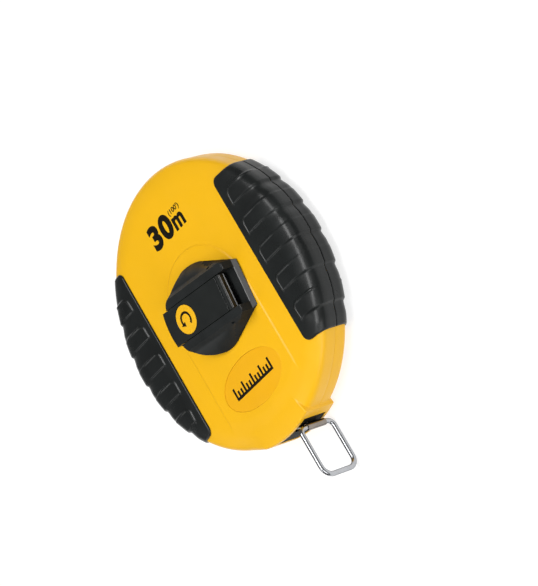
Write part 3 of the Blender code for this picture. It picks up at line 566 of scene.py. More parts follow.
def combined(mesh, *steps):
    """Booleans in order; each step is (operation, mesh)."""
    def modify(obj):
        helpers = []
        for operation, other in steps:
            helper = linked("helper", other)
            helpers.append(helper)
            modifier = obj.modifiers.new("boolean", "BOOLEAN")
            modifier.solver = "EXACT"
            modifier.operation = operation
            modifier.object = helper
        return helpers
    return evaluated(mesh, modify)


def rounded(mesh, width, segments=3, angle=30.0):
    """Edges rounded over, after flat neighbours are merged into single faces."""
    bm = bmesh.new()
    bm.from_mesh(mesh)
    bmesh.ops.remove_doubles(bm, verts=bm.verts, dist=0.002 * MM)
    bmesh.ops.dissolve_limit(bm, angle_limit=math.radians(0.5), verts=bm.verts, edges=bm.edges)
    clean = mesh_from(bm)

    def modify(obj):
        bevel = obj.modifiers.new("bevel", "BEVEL")
        bevel.width = width
        bevel.segments = segments
        bevel.limit_method = "ANGLE"
        bevel.angle_limit = math.radians(angle)
        bevel.miter_outer = "MITER_ARC"
        bevel.harden_normals = True
    return evaluated(clean, modify)


def crisp(mesh, angle=32.0):
    """Smooth shading in which the large flat faces stay flat and only the rounding bends."""
    smoothed(mesh, angle)

    def modify(obj):
        weighted = obj.modifiers.new("weighted", "WEIGHTED_NORMAL")
        weighted.keep_sharp = True
        weighted.weight = 100
    return evaluated(mesh, modify)


def arc(centre, radius, start, end, steps):
    """Points along an arc; angles in radians, both ends included."""
    angles = np.linspace(start, end, steps + 1)
    return [(centre[0] + radius * math.cos(a), centre[1] + radius * math.sin(a)) for a in angles]


def prism(outline, bottom, top):
    """A closed outline, extruded between two heights."""
    bm = bmesh.new()
    verts = [bm.verts.new((x, y, bottom)) for x, y in outline]
    face = bm.faces.new(verts)
    grown = bmesh.ops.extrude_face_region(bm, geom=[face])
    upper = [item for item in grown["geom"] if isinstance(item, bmesh.types.BMVert)]
    bmesh.ops.translate(bm, verts=upper, vec=(0, 0, top - bottom))
    return mesh_from(bm)


def side_prism(outline, half_width):
    """A closed outline of (x, z) points, extruded both ways along Y."""
    mesh = prism(outline, -half_width, half_width)
    mesh.transform(Matrix.Rotation(math.radians(90), 4, "X"))
    return mesh


def block(low, high):
    """A box between two corners."""
    return prism([(low[0], low[1]), (high[0], low[1]), (high[0], high[1]), (low[0], high[1])],
                 low[2], high[2])


def cylinder(radius, bottom, top, centre=(0.0, 0.0), steps=64):
    """An upright cylinder, with its middle at centre."""
    return prism(arc(centre, radius, 0.0, math.tau, steps)[:-1], bottom, top)


def rod_along_y(radius, start, end, x, z, steps=48):
    """A cylinder lying along Y, from start to end."""
    mesh = cylinder(radius, start, end, steps=steps)
    mesh.transform(Matrix.Translation((x, 0, z)) @ Matrix.Rotation(math.radians(-90), 4, "X"))
    return mesh


def bridge(bm, rings):
    """Faces from each ring of vertices to the next, and from the last one to the first."""
    for ring, following in zip(rings, rings[1:] + rings[:1]):
        for number in range(len(ring)):
            after = (number + 1) % len(ring)
            bm.faces.new((ring[number], following[number], following[after], ring[after]))


def turned(profile, steps=64, smooth_angle=35.0):
    """A closed profile of (radius, height) points, spun once round Z."""
    bm = bmesh.new()
    rings = []
    for radius, height in profile:
        angles = np.arange(steps) * math.tau / steps
        rings.append([bm.verts.new((radius * math.cos(a), radius * math.sin(a), height)) for a in angles])
    bridge(bm, rings)
    bmesh.ops.remove_doubles(bm, verts=bm.verts, dist=0.001 * MM)
    return mesh_from(bm, smooth_angle)


def tube(path, radius, steps):
    """A round wire along a closed flat path in the YZ plane."""
    points = np.array(path)
    ahead = np.roll(points, -1, axis=0) - np.roll(points, 1, axis=0)
    ahead /= np.linalg.norm(ahead, axis=1)[:, None]
    bm = bmesh.new()
    rings = []
    for (y, z), (along_y, along_z) in zip(points, ahead):
        ring = []
        for angle in np.arange(steps) * math.tau / steps:
            side = radius * math.cos(angle)
            ring.append(bm.verts.new((radius * math.sin(angle), y - side * along_z, z + side * along_y)))
        rings.append(ring)
    bridge(bm, rings)
    return mesh_from(bm, 80.0)


def grid_solid(outer, inner, closed=False, smooth_angle=40.0):
    """A closed solid between two grids of points; closed joins the last column to the first."""
    rows, columns = outer.shape[:2]
    last_row = rows - 2
    last_column = columns - 1 if closed else columns - 2
    points = np.concatenate([outer.reshape(-1, 3), inner.reshape(-1, 3)])
    lift = rows * columns
    faces = []
    for row in range(last_row + 1):
        for column in range(last_column + 1):
            after = (column + 1) % columns
            a = row * columns + column
            b = (row + 1) * columns + column
            c = (row + 1) * columns + after
            d = row * columns + after
            faces.append((a, b, c, d))
            faces.append((d + lift, c + lift, b + lift, a + lift))
            borders = ((row == 0, a, d), (row == last_row, c, b),
                       (not closed and column == 0, b, a), (not closed and column == last_column, d, c))
            for on_border, start, end in borders:
                if on_border:
                    faces.append((start, end, end + lift, start + lift))
    mesh = bpy.data.meshes.new("grid")
    mesh.from_pydata(points.tolist(), [], faces)
    bm = bmesh.new()
    bm.from_mesh(mesh)
    bpy.data.meshes.remove(mesh)
    bmesh.ops.remove_doubles(bm, verts=bm.verts, dist=0.001 * MM)
    return mesh_from(bm, smooth_angle)


def smooth(value, low, high):
    """0 below low, 1 above high, and an S-curve between."""
    share = np.clip((value - low) / (high - low), 0.0, 1.0)
    return share * share * (3.0 - 2.0 * share)


def spaced(start, end, step):
    """Even values from start to end, at most one step apart."""
    count = max(1, int(math.ceil(abs(end - start) / step)))
    return np.linspace(start, end, count + 1)


# ---------------------------------------------------------------- case

def shoulder_arcs(shoulder_steps, edge_steps, edge_round=RIM_EDGE_RADIUS):
    """Radii, heights and outward normals down the shoulder and round the rim's edge."""
    last_tilt = math.asin((RIM_RADIUS - edge_round - FACE_RADIUS) / (SHOULDER_RADIUS - edge_round))
    tilt = np.linspace(0.0, last_tilt, shoulder_steps + 1)
    radius = FACE_RADIUS + SHOULDER_RADIUS * np.sin(tilt)
    height = FACE_HALF - SHOULDER_RADIUS * (1.0 - np.cos(tilt))
    edge_tilt = np.linspace(last_tilt, math.pi / 2, edge_steps + 1)[1:]
    edge_height = height[-1] - edge_round * math.cos(last_tilt)
    edge_radius = RIM_RADIUS - edge_round + edge_round * np.sin(edge_tilt)
    radius = np.concatenate([radius, edge_radius])
    height = np.concatenate([height, edge_height + edge_round * np.cos(edge_tilt)])
    tilt = np.concatenate([tilt, edge_tilt])
    return radius, height, np.sin(tilt), np.cos(tilt)


def case_section(face_radii, wall_heights, shoulder_steps=14, edge_steps=6):
    """The case's section from its face to the seam: outside, lug and inside, as rows of (r, z)."""
    radius, height, out_r, out_z = shoulder_arcs(shoulder_steps, edge_steps)
    flat = np.column_stack([face_radii, np.full(len(face_radii), FACE_HALF)])
    wall = np.column_stack([np.full(len(wall_heights), RIM_RADIUS), wall_heights])
    outside = np.concatenate([flat, np.column_stack([radius, height])[1:], wall])

    share = np.linspace(0.0, 1.0, shoulder_steps + 1)[1:]
    top_radius = LUG_RADIUS - LUG_EDGE_RADIUS
    lug_top = np.column_stack([FACE_RADIUS + (top_radius - FACE_RADIUS) * share,
                               FACE_HALF - LUG_DROP * share ** 2])
    centre = (top_radius, FACE_HALF - LUG_DROP - LUG_EDGE_RADIUS)
    lug_edge = np.array(arc(centre, LUG_EDGE_RADIUS, math.pi / 2, 0.0, edge_steps))[1:]
    lug_wall = np.column_stack([np.full(len(wall_heights), LUG_RADIUS), wall_heights])
    lug = np.concatenate([flat, lug_top, lug_edge, lug_wall])

    inner_curve = np.column_stack([radius - CASE_WALL * out_r, height - CASE_WALL * out_z])[1:]
    inside = np.concatenate([flat - (0.0, CASE_WALL), inner_curve, wall - (CASE_WALL, 0.0)])
    return outside, lug, inside


def seam_chamfered(section):
    """The last row pulled in a little, so that the two shells meet in a fine groove."""
    section[-1, 0] -= SEAM_CHAMFER
    return section


def spun(section, angles):
    """Rows of (r, z), spun to a grid of points; section may also hold one pair per angle."""
    radius = section[..., 0]
    height = section[..., 1]
    if section.ndim == 2:
        radius = radius[:, None] * np.ones(len(angles))
        height = height[:, None] * np.ones(len(angles))
    return np.stack([radius * np.cos(angles), radius * np.sin(angles), height], axis=-1)


def keyhole_distance(x, y):
    """How far a point of the face is outside the raised keyhole round the crank."""
    return np.where(y > 0.0, np.hypot(x, y), np.abs(x)) - PLATEAU_RADIUS


def case_shell(face_radii, angles, raise_face):
    """Outer and inner points of a shell in the front shell's pose, round the middle plane."""
    wall_top = shoulder_arcs(1, 1)[1][-1]
    wall = np.concatenate([spaced(wall_top, 0.7 * MM, 1.6 * MM)[1:], [SEAM_GAP / 2]])
    outside, lug, inside = case_section(face_radii, wall)
    outside = seam_chamfered(outside)
    lug = seam_chamfered(lug)
    left_end = -math.pi / 2 - LUG_HALF_ANGLE
    right_end = -math.pi / 2 + LUG_HALF_ANGLE
    crease = smooth(angles, left_end - LUG_LEFT_FADE / 2, left_end + LUG_LEFT_FADE / 2)
    climb = smooth(angles, left_end + LUG_LEFT_SPREAD[0], left_end + LUG_LEFT_SPREAD[1])
    share = LUG_LEFT_STEP * crease + (1.0 - LUG_LEFT_STEP) * climb
    share *= 1.0 - smooth(angles, right_end - LUG_RIGHT_FADE / 2, right_end + LUG_RIGHT_FADE / 2)
    blended = outside[:, None, :] * (1.0 - share)[None, :, None] + lug[:, None, :] * share[None, :, None]
    outer = spun(blended, angles)
    outer[..., 2] += raise_face(outer[..., 0], outer[..., 1])
    inner = spun(inside, angles)
    return outer, inner


def mouth_block():
    """What both shells lose for the mouth: a block between two angles, right through the rim."""
    outline = arc((0, 0), LUG_RADIUS + 3 * MM, MOUTH_START, MOUTH_END, 40)
    outline += arc((0, 0), INSERT_INNER_RADIUS - 2 * MM, MOUTH_END, MOUTH_START, 40)
    return prism(outline, MIDDLE_Z - MOUTH_HALF_HEIGHT, MIDDLE_Z + MOUTH_HALF_HEIGHT)


def case_angles(coarse, fine, fine_from, fine_to):
    """Angles round the case: closer together over one stretch and at the lug's two ends."""
    lug_edges = []
    for side, fade in ((-1, LUG_LEFT_FADE), (1, LUG_RIGHT_FADE)):
        end = -math.pi / 2 + side * LUG_HALF_ANGLE
        lug_edges.append(np.linspace(end - 0.6 * fade, end + 0.6 * fade, 14))
    fine_angles = spaced(fine_from, fine_to, fine)
    coarse_angles = spaced(fine_to, fine_from + math.tau, coarse)[1:-1]
    angles = np.concatenate([fine_angles, coarse_angles] + lug_edges)
    angles = np.sort(np.where(angles > math.pi, angles - math.tau, angles))
    apart = np.append(True, np.diff(angles) > math.radians(0.04))
    return angles[apart]


def front_face_radii():
    """Where the face's rings of points are: close at the hub's lip and on the plateau's slope."""
    lip = np.array([HUB_OPENING_RADIUS, HUB_OPENING_RADIUS + 0.12 * MM, HUB_OPENING_RADIUS + HUB_LIP_RADIUS])
    near = spaced(lip[-1], PLATEAU_RADIUS - PLATEAU_SLOPE, 1.5 * MM)[1:]
    slope = spaced(PLATEAU_RADIUS - PLATEAU_SLOPE, PLATEAU_RADIUS + PLATEAU_SLOPE, 0.15 * MM)[1:]
    far = spaced(PLATEAU_RADIUS + PLATEAU_SLOPE, FACE_RADIUS, 0.45 * MM)[1:]
    return np.concatenate([lip, near, slope, far])


def raise_front(x, y):
    """The keyhole plateau, which fades where the shoulder starts, and the hub opening's lip."""
    radius = np.hypot(x, y)
    inside = 1.0 - smooth(keyhole_distance(x, y), -PLATEAU_SLOPE / 2, PLATEAU_SLOPE / 2)
    rise = PLATEAU_RISE * inside * (1.0 - smooth(radius, *PLATEAU_FADE))
    from_lip = np.clip(1.0 - (radius - HUB_OPENING_RADIUS) / HUB_LIP_RADIUS, 0.0, 1.0)
    return rise - HUB_LIP_RADIUS * (1.0 - np.sqrt(1.0 - from_lip ** 2))


def ellipse(half_length, half_width, centre_y, steps=96):
    """An ellipse's outline, with its middle on the Y axis."""
    angles = np.arange(steps) * math.tau / steps
    return [(half_length * math.cos(a), centre_y + half_width * math.sin(a)) for a in angles]


def make_front_shell():
    """The front half of the case, with the recess for the badge."""
    angles = case_angles(math.radians(2.5), math.radians(0.45), math.radians(-182), math.radians(2))
    outer, inner = case_shell(front_face_radii(), angles, raise_front)
    outer[..., 2] += MIDDLE_Z
    inner[..., 2] += MIDDLE_Z
    shell = grid_solid(outer, inner, closed=True)
    recess = prism(ellipse(BADGE_HALF_LENGTH, BADGE_HALF_WIDTH, BADGE_Y), HUB_FACE_Z - BADGE_DEPTH,
                   HUB_FACE_Z + 2 * MM)
    shell = smoothed(combined(shell, ("DIFFERENCE", recess), ("DIFFERENCE", mouth_block())), 40)
    piece("front_shell", shell, YELLOW_CASE, "case", ["front_case"])


def raise_back(x, y):
    """The round pad that the reel rests on."""
    radius = np.hypot(x, y)
    return BACK_PAD_RISE * (1.0 - smooth(radius, PLATEAU_RADIUS - BACK_PAD_SLOPE, PLATEAU_RADIUS))


def make_back_shell():
    """The back half of the case, with the wells of its four screws."""
    angles = case_angles(math.radians(2.5), math.radians(1.5), math.radians(-110), math.radians(-70))
    pad_edge = spaced(PLATEAU_RADIUS - BACK_PAD_SLOPE, PLATEAU_RADIUS, 0.2 * MM)
    radii = np.concatenate([[0.0], spaced(4 * MM, pad_edge[0], 4 * MM)[:-1], pad_edge,
                            spaced(PLATEAU_RADIUS, FACE_RADIUS, 3 * MM)[1:]])
    outer, inner = case_shell(radii, angles, raise_back)
    for grid in (outer, inner):
        grid[..., 2] = MIDDLE_Z - grid[..., 2]
    shell = grid_solid(outer, inner, closed=True)
    cuts = [("DIFFERENCE", mouth_block())]
    for angle in SCREW_ANGLES:
        cuts.append(("DIFFERENCE", cylinder(SCREW_HEAD_RADIUS + GAP, -2 * MM, SCREW_SEAT_Z,
                                            screw_centre(angle), 40)))
    shell = smoothed(combined(shell, *cuts), 40)
    piece("back_shell", shell, YELLOW_CASE, "case", ["back_case"])


def screw_centre(angle):
    """Where a case screw stands, from its angle in degrees."""
    radians = math.radians(angle)
    return (SCREW_CIRCLE * math.cos(radians), SCREW_CIRCLE * math.sin(radians))


def make_case_screws():
    """Pan heads with a crossed driver slot, sunk in the back, each turned its own way."""
    head = SCREW_HEAD_HEIGHT
    low = SCREW_SEAT_Z - GAP - head
    for number, (angle, slot_turn) in enumerate(zip(SCREW_ANGLES, SCREW_SLOT_TURNS), 1):
        dome = arc((SCREW_HEAD_RADIUS - SCREW_DOME_RADIUS, low + SCREW_DOME_RADIUS), SCREW_DOME_RADIUS,
                   0.0, -math.pi / 2, 6)
        profile = [(0.0, low + head + SCREW_POINT), (SCREW_SHANK_RADIUS, low + head + SCREW_LENGTH),
                   (SCREW_SHANK_RADIUS, low + head), (SCREW_HEAD_RADIUS, low + head)]
        screw = turned(profile + dome + [(0.0, low)], 40)
        slots = []
        long = SCREW_HEAD_RADIUS - SCREW_SLOT_INSET
        narrow = SCREW_SLOT_WIDTH / 2
        for x, y in ((long, narrow), (narrow, long)):
            slots.append(("DIFFERENCE", block((-x, -y, low - 1 * MM), (x, y, low + SCREW_SLOT_DEPTH))))
        screw = combined(screw, *slots)
        screw.transform(Matrix.Translation((*screw_centre(angle), 0.0)) @ Matrix.Rotation(slot_turn, 4, "Z"))
        piece(f"case_screw_head_{number}", screw, ZINC_STEEL, "case",
              [f"case_screw_{number}"])


# ---------------------------------------------------------------- grips

def grip_pattern(from_inner, y, rim_share):
    """Height of the grip's panels over its plain surface.

    Each panel starts with a small step up at its top edge, ends in a drop below it, and the
    surface then climbs slowly to the next panel. The panels stop short of the inner edge, and
    a fine bead runs along the top edge, round the inner corner and a little way down.
    """
    down = PANEL_FIRST_Y - y + PANEL_LEAD
    number = np.floor(down / PANEL_PITCH)
    along = down - number * PANEL_PITCH - PANEL_LEAD
    valley = VALLEY_DEPTH_FACE + (VALLEY_DEPTH_RIM - VALLEY_DEPTH_FACE) * rim_share
    edge = PANEL_EDGE * (1.0 + rim_share)

    short_in = np.clip(PANEL_CORNER_RADIUS - (from_inner - PANEL_INSET), 0.0, None)
    short_down = np.clip(PANEL_CORNER_RADIUS - along, 0.0, None)
    inside = PANEL_CORNER_RADIUS - np.hypot(short_in, short_down)
    panel = smooth(inside, -edge / 2, edge / 2) * (1.0 - smooth(along, PANEL_LENGTH, PANEL_LENGTH + edge))
    bead = np.clip(1.0 - (inside / BEAD_HALF_WIDTH) ** 2, 0.0, None) ** 2
    bead = bead * (1.0 - smooth(along, *BEAD_LEG)) * (1.0 - smooth(from_inner, *BEAD_END))

    fade = smooth(from_inner, PANEL_INSET, PANEL_INSET + VALLEY_FADE)
    drop = smooth(along, PANEL_LENGTH, PANEL_LENGTH + edge)
    climb = 1.0 - smooth(along, PANEL_LENGTH + edge, PANEL_PITCH - PANEL_LEAD)
    present = (number >= 0) & (number < PANEL_COUNT)
    height = PANEL_RISE * panel + BEAD_HEIGHT * bead - valley * drop * climb * fade
    return np.where(present, height, 0.0)


def rounded_border(distance, radius):
    """How far a surface drops at a distance from its border, for an edge of that radius."""
    share = np.clip(1.0 - distance / radius, 0.0, 1.0)
    return radius * (1.0 - np.sqrt(1.0 - share ** 2))


def grip_lines(top_y):
    """Y values across the grip, closer together at its ends and at each panel's steps."""
    ends = [spaced(GRIP_BOTTOM_Y, GRIP_BOTTOM_Y + GRIP_CORNER_RADIUS, 0.35 * MM),
            spaced(top_y - GRIP_CORNER_RADIUS, top_y, 0.35 * MM)]
    steps = []
    for number in range(PANEL_COUNT):
        top = PANEL_FIRST_Y - number * PANEL_PITCH
        steps.append(top - np.linspace(-PANEL_EDGE, 1.2 * MM, 14))
        steps.append(top - np.linspace(1.2 * MM, PANEL_CORNER_RADIUS, 7))
        steps.append(top - PANEL_LENGTH - np.linspace(-0.1 * MM, 2 * PANEL_EDGE, 9))
    lines = np.sort(np.concatenate(ends + steps + [spaced(GRIP_BOTTOM_Y, top_y, 1.1 * MM)]))
    return lines[np.append(True, np.diff(lines) > 0.06 * MM)]


def grip_grid(top_y):
    """Outer and inner points of a front grip on the +X side, round the middle plane."""
    section_radius, section_height, out_r, out_z = shoulder_arcs(24, 12, GRIP_RIM_EDGE_RADIUS)
    wall = spaced(section_height[-1], GAP / 2, 0.7 * MM)[1:]
    wall = np.concatenate([wall[:-1], GAP / 2 + GRIP_SEAM_RADIUS * np.array([0.75, 0.45, 0.2, 0.0])])
    radius = np.concatenate([[0.0], section_radius, np.full(len(wall), RIM_RADIUS)])
    height = np.concatenate([[FACE_HALF], section_height, wall])
    out_r = np.concatenate([[0.0], out_r, np.ones(len(wall))])
    out_z = np.concatenate([[1.0], out_z, np.zeros(len(wall))])
    length = np.append(0.0, np.cumsum(np.hypot(np.diff(radius), np.diff(height))))
    rim_length = length[len(section_radius)]

    outer_rows = []
    inner_rows = []
    for y in grip_lines(top_y):
        to_end = min(y - GRIP_BOTTOM_Y, top_y - y)
        corner = max(0.0, GRIP_CORNER_RADIUS - to_end)
        start_x = GRIP_INNER_X + GRIP_CORNER_RADIUS - math.sqrt(GRIP_CORNER_RADIUS ** 2 - corner ** 2)
        plain = np.concatenate([spaced(start_x, start_x + GRIP_EDGE_RADIUS, GRIP_EDGE_RADIUS / 6),
                                np.linspace(start_x + GRIP_EDGE_RADIUS, start_x + GRIP_PLAIN_WIDTH, 36)[1:]])
        plain_length = np.interp(np.hypot(plain, y), radius[:len(section_radius) + 1],
                                 length[:len(section_radius) + 1])
        band = np.linspace(plain_length[-1], rim_length, 40)[1:]
        along = np.concatenate([plain_length, band, length[len(section_radius) + 1:]])
        r = np.interp(along, length, radius)
        z = np.interp(along, length, height)
        normal_r = np.interp(along, length, out_r)
        normal_z = np.interp(along, length, out_z)
        x = np.sqrt(np.maximum(r ** 2 - y ** 2, 0.0))
        from_inner = along - plain_length[0] + start_x - GRIP_INNER_X
        rim_share = smooth(along, length[1], rim_length)
        lift = GRIP_HEIGHT + grip_pattern(from_inner, np.full(len(along), y), rim_share)
        border = np.minimum(along - plain_length[0], to_end)
        lift = lift - rounded_border(border, GRIP_EDGE_RADIUS)
        lift = lift - rounded_border(z - GAP / 2, GRIP_SEAM_RADIUS)
        for offset, rows in ((lift, outer_rows), (np.full(len(along), GRIP_UNDERSIDE), inner_rows)):
            rows.append(np.column_stack([x + offset * normal_r * x / r, y + offset * normal_r * y / r,
                                         z + offset * normal_z]))
    return np.array(outer_rows), np.array(inner_rows)


def make_grips():
    """Four grips: the front right one, and its mirror images across the case and the seam."""
    for side_name, side, top_y in (("right", 1, GRIP_TOP_RIGHT_Y), ("left", -1, GRIP_TOP_LEFT_Y)):
        outer, inner = grip_grid(top_y)
        for half_name, half in (("front", 1), ("back", -1)):
            mesh = grid_solid(outer * (side, 1, half), inner * (side, 1, half), smooth_angle=50.0)
            mesh.transform(Matrix.Translation((0, 0, MIDDLE_Z)))
            name = f"{half_name}_{side_name}"
            piece(f"rubber_grip_{name}", mesh, GRIP_RUBBER, "case", [f"grip_{name}"])


# ---------------------------------------------------------------- mouth, badge and print

def make_mouth_insert():
    """The black insert: a curved bar, with the slot that the tape leaves through."""
    step = GAP / RIM_RADIUS
    outline = arc((0, 0), INSERT_OUTER_RADIUS, MOUTH_START + step, MOUTH_END - step, 24)
    outline += arc((0, 0), INSERT_INNER_RADIUS, MOUTH_END - step, MOUTH_START + step, 24)
    height = MOUTH_HALF_HEIGHT - GAP
    insert = prism(outline, MIDDLE_Z - height, MIDDLE_Z + height)
    across = Vector((-TAPE_DIRECTION.y, TAPE_DIRECTION.x, 0.0))
    lip_angle = MOUTH_END - SLOT_LIP_ANGLE
    lip = Vector((math.cos(lip_angle), math.sin(lip_angle), 0.0)) * (INSERT_OUTER_RADIUS + 3 * MM)
    far_end = RING_PIVOT - TAPE_DIRECTION * SLOT_LENGTH
    corners = [far_end + across * SLOT_OUTER_SIDE, far_end - across * SLOT_INNER_SIDE,
               RING_PIVOT - across * SLOT_INNER_SIDE, lip]
    slot = prism([(corner.x, corner.y) for corner in corners], MIDDLE_Z - MOUTH_SLOT_HALF_HEIGHT,
                 MIDDLE_Z + MOUTH_SLOT_HALF_HEIGHT)
    insert = crisp(rounded(combined(insert, ("DIFFERENCE", slot)), INSERT_ROUNDING))
    piece("mouth_insert", insert, MOUTH_PLASTIC, "case", ["mouthpiece"])


def make_badge():
    """An oval plate with a plain ruler scale on it."""
    top = HUB_FACE_Z - BADGE_SUNK
    outline = ellipse(BADGE_HALF_LENGTH - BADGE_GAP, BADGE_HALF_WIDTH - BADGE_GAP, BADGE_Y)
    plate = crisp(rounded(prism(outline, HUB_FACE_Z - BADGE_DEPTH + GAP, top), BADGE_ROUNDING))
    piece("badge_oval", plate, YELLOW_BADGE, "case", ["badge_plate"])

    low_y = BADGE_Y - SCALE_DROP
    line_y = low_y + SCALE_LINE_WIDTH
    half = SCALE_MARK_WIDTH / 2
    end_x = SCALE_MARKS_PER_SIDE * SCALE_PITCH + half
    marks = [block((-end_x, low_y, top), (end_x, line_y, top + PRINT_THICKNESS))]
    for number in range(-SCALE_MARKS_PER_SIDE, SCALE_MARKS_PER_SIDE + 1):
        length = SCALE_SHORT if number % SCALE_LONG_EVERY else SCALE_LONG
        x = number * SCALE_PITCH
        marks.append(block((x - half, line_y, top), (x + half, low_y + length, top + PRINT_THICKNESS)))
    piece("badge_scale", joined(marks), PRINT_INK, "case")


def printed(name, words, low, high, weight, spacing=1.0):
    """Flat lettering on the face, made to fill the box from low to high."""
    curve = bpy.data.curves.new(name, "FONT")
    curve.body = words
    curve.offset = weight
    curve.space_character = spacing
    curve.extrude = 0.01
    curve.resolution_u = 8
    source = linked(name, curve)
    mesh = bpy.data.meshes.new_from_object(source.evaluated_get(bpy.context.evaluated_depsgraph_get()))
    bpy.data.objects.remove(source, do_unlink=True)
    corners = np.array([vert.co for vert in mesh.vertices])
    first = corners.min(axis=0)
    extent = corners.max(axis=0) - first
    size = Vector((high[0] - low[0], high[1] - low[1], PRINT_THICKNESS))
    place = Vector((*low, MIDDLE_Z + FACE_HALF))
    for vert in mesh.vertices:
        vert.co = [place[i] + (vert.co[i] - first[i]) / extent[i] * size[i] for i in range(3)]
    bm = bmesh.new()
    bm.from_mesh(mesh)
    bmesh.ops.remove_doubles(bm, verts=bm.verts, dist=0.002 * MM)
    bpy.data.meshes.remove(mesh)
    return mesh_from(bm)


def make_length_print():
    """The tape's length, in metres and feet."""
    lettering = (("print_thirty", "30", (-14.3, 41.4), (5.5, 54.6), 0.05, 1.12),
                 ("print_metre", "m", (6.2, 41.6), (15.7, 48.7), 0.038, 1.0),
                 ("print_feet", "(100')", (6.6, 49.7), (16.4, 53.3), 0.026, 1.0))
    for name, words, low, high, weight, spacing in lettering:
        low = [value * MM for value in low]
        high = [value * MM for value in high]
        mesh = printed(name, words, low, high, weight, spacing)
        piece(name, mesh, PRINT_INK, "case")


# ---------------------------------------------------------------- crank

def rotor_outline():
    """The rotor from above: a disc with a flat, drawn out to a narrower end at the hinge."""
    corner_angle = math.atan2(ROTOR_END_HALF_WIDTH, ROTOR_END_X)
    corner_distance = math.hypot(ROTOR_END_X, ROTOR_END_HALF_WIDTH)
    touch = corner_angle + math.acos(ROTOR_RADIUS / corner_distance)
    disc = arc((0, 0), ROTOR_RADIUS, touch, ROTOR_FLAT_START, 16)
    disc += arc((0, 0), ROTOR_RADIUS, ROTOR_FLAT_END, math.tau - touch, 72)
    return disc + [(ROTOR_END_X, -ROTOR_END_HALF_WIDTH), (ROTOR_END_X, ROTOR_END_HALF_WIDTH)]


def outline_half_width(x, side):
    """How far the rotor's outline is from its X axis at x, on the +Y or the -Y side."""
    outline = np.array(rotor_outline())
    points = outline[outline[:, 1] * side > 0]
    points = points[np.argsort(points[:, 0])]
    return np.interp(x, points[:, 0], np.abs(points[:, 1]))


def roof():
    """Flat over both rails, then a narrow slope, then a bowed flank down to the rotor's rim."""
    stations = np.concatenate([[-CUT_REACH], np.linspace(-ROTOR_RADIUS, ROTOR_END_X, 56), [CUT_END_X]])
    shares = np.linspace(0.0, FLANK_PAST_FOOT, 11)
    slope_end_z = ROTOR_TOP_Z - FLANK_BREAK_DROP
    height = slope_end_z + (FLANK_FOOT_Z - slope_end_z) * shares
    height += FLANK_BOW * np.sin(np.pi * np.minimum(shares, 1.0))
    rows = []
    for x in stations:
        sides = []
        for side in (-1, 1):
            rim_y = max(outline_half_width(max(x, 0.0), side), FLANK_BREAK_Y + FLANK_LEAST_WIDTH)
            rim_y += (FLANK_FOOT_Y - ROTOR_RADIUS) * (1.0 - smooth(x, *FLANK_BLEND))
            across = FLANK_BREAK_Y + (rim_y - FLANK_BREAK_Y) * shares
            half = np.column_stack([np.full(len(shares), x), side * across, height])
            sides.append(np.vstack([(x, side * RIDGE_Y, ROTOR_TOP_Z), half]))
        rows.append(np.vstack([sides[0][::-1], sides[1]]))
    outer = np.array(rows)
    inner = outer.copy()
    inner[..., 2] = MIDDLE_Z
    return grid_solid(outer, inner)


def sloped_end():
    """What is cut off the rotor's end: steep at the rails, less steep along the end wall."""
    return side_prism([(RAIL_END_X - 0.5 * MM, CUT_TOP_Z), (RAIL_END_X, ROTOR_TOP_Z),
                       (END_EDGE_X, END_EDGE_Z), (END_FOOT_X, END_FOOT_Z), (CUT_END_X, END_FOOT_Z),
                       (CUT_END_X, CUT_TOP_Z)], CUT_REACH)


def in_crank(mesh):
    """A mesh drawn in the crank's own frame, turned into place."""
    mesh.transform(CRANK_TURN)
    return mesh


def paint_rotor_facing_light(body):
    """Painted light by facing: the walls round the rotor get a lighter, matt copy of its plastic as painted
    reflected light, and the face at its end the light, glossy plastic as a painted highlight; the rest keeps
    its own finish.
    """
    body.data.materials.append(ROTOR_WALL_PAINTED_LIGHT)
    body.data.materials.append(PAINTED_HIGHLIGHT_PLASTIC)
    for polygon in body.data.polygons:
        radius = polygon.center.xy.length
        outwards = polygon.center.xy.dot(polygon.normal.xy) / radius if radius else 0.0
        if radius > ROTOR_BOSS_RADIUS and outwards > WALL_OUTWARDS and polygon.normal.z < WALL_UPWARDS:
            polygon.material_index = 1
        elif radius > END_EDGE_X and WALL_UPWARDS < polygon.normal.z < END_FACE_UPWARDS:
            polygon.material_index = 2


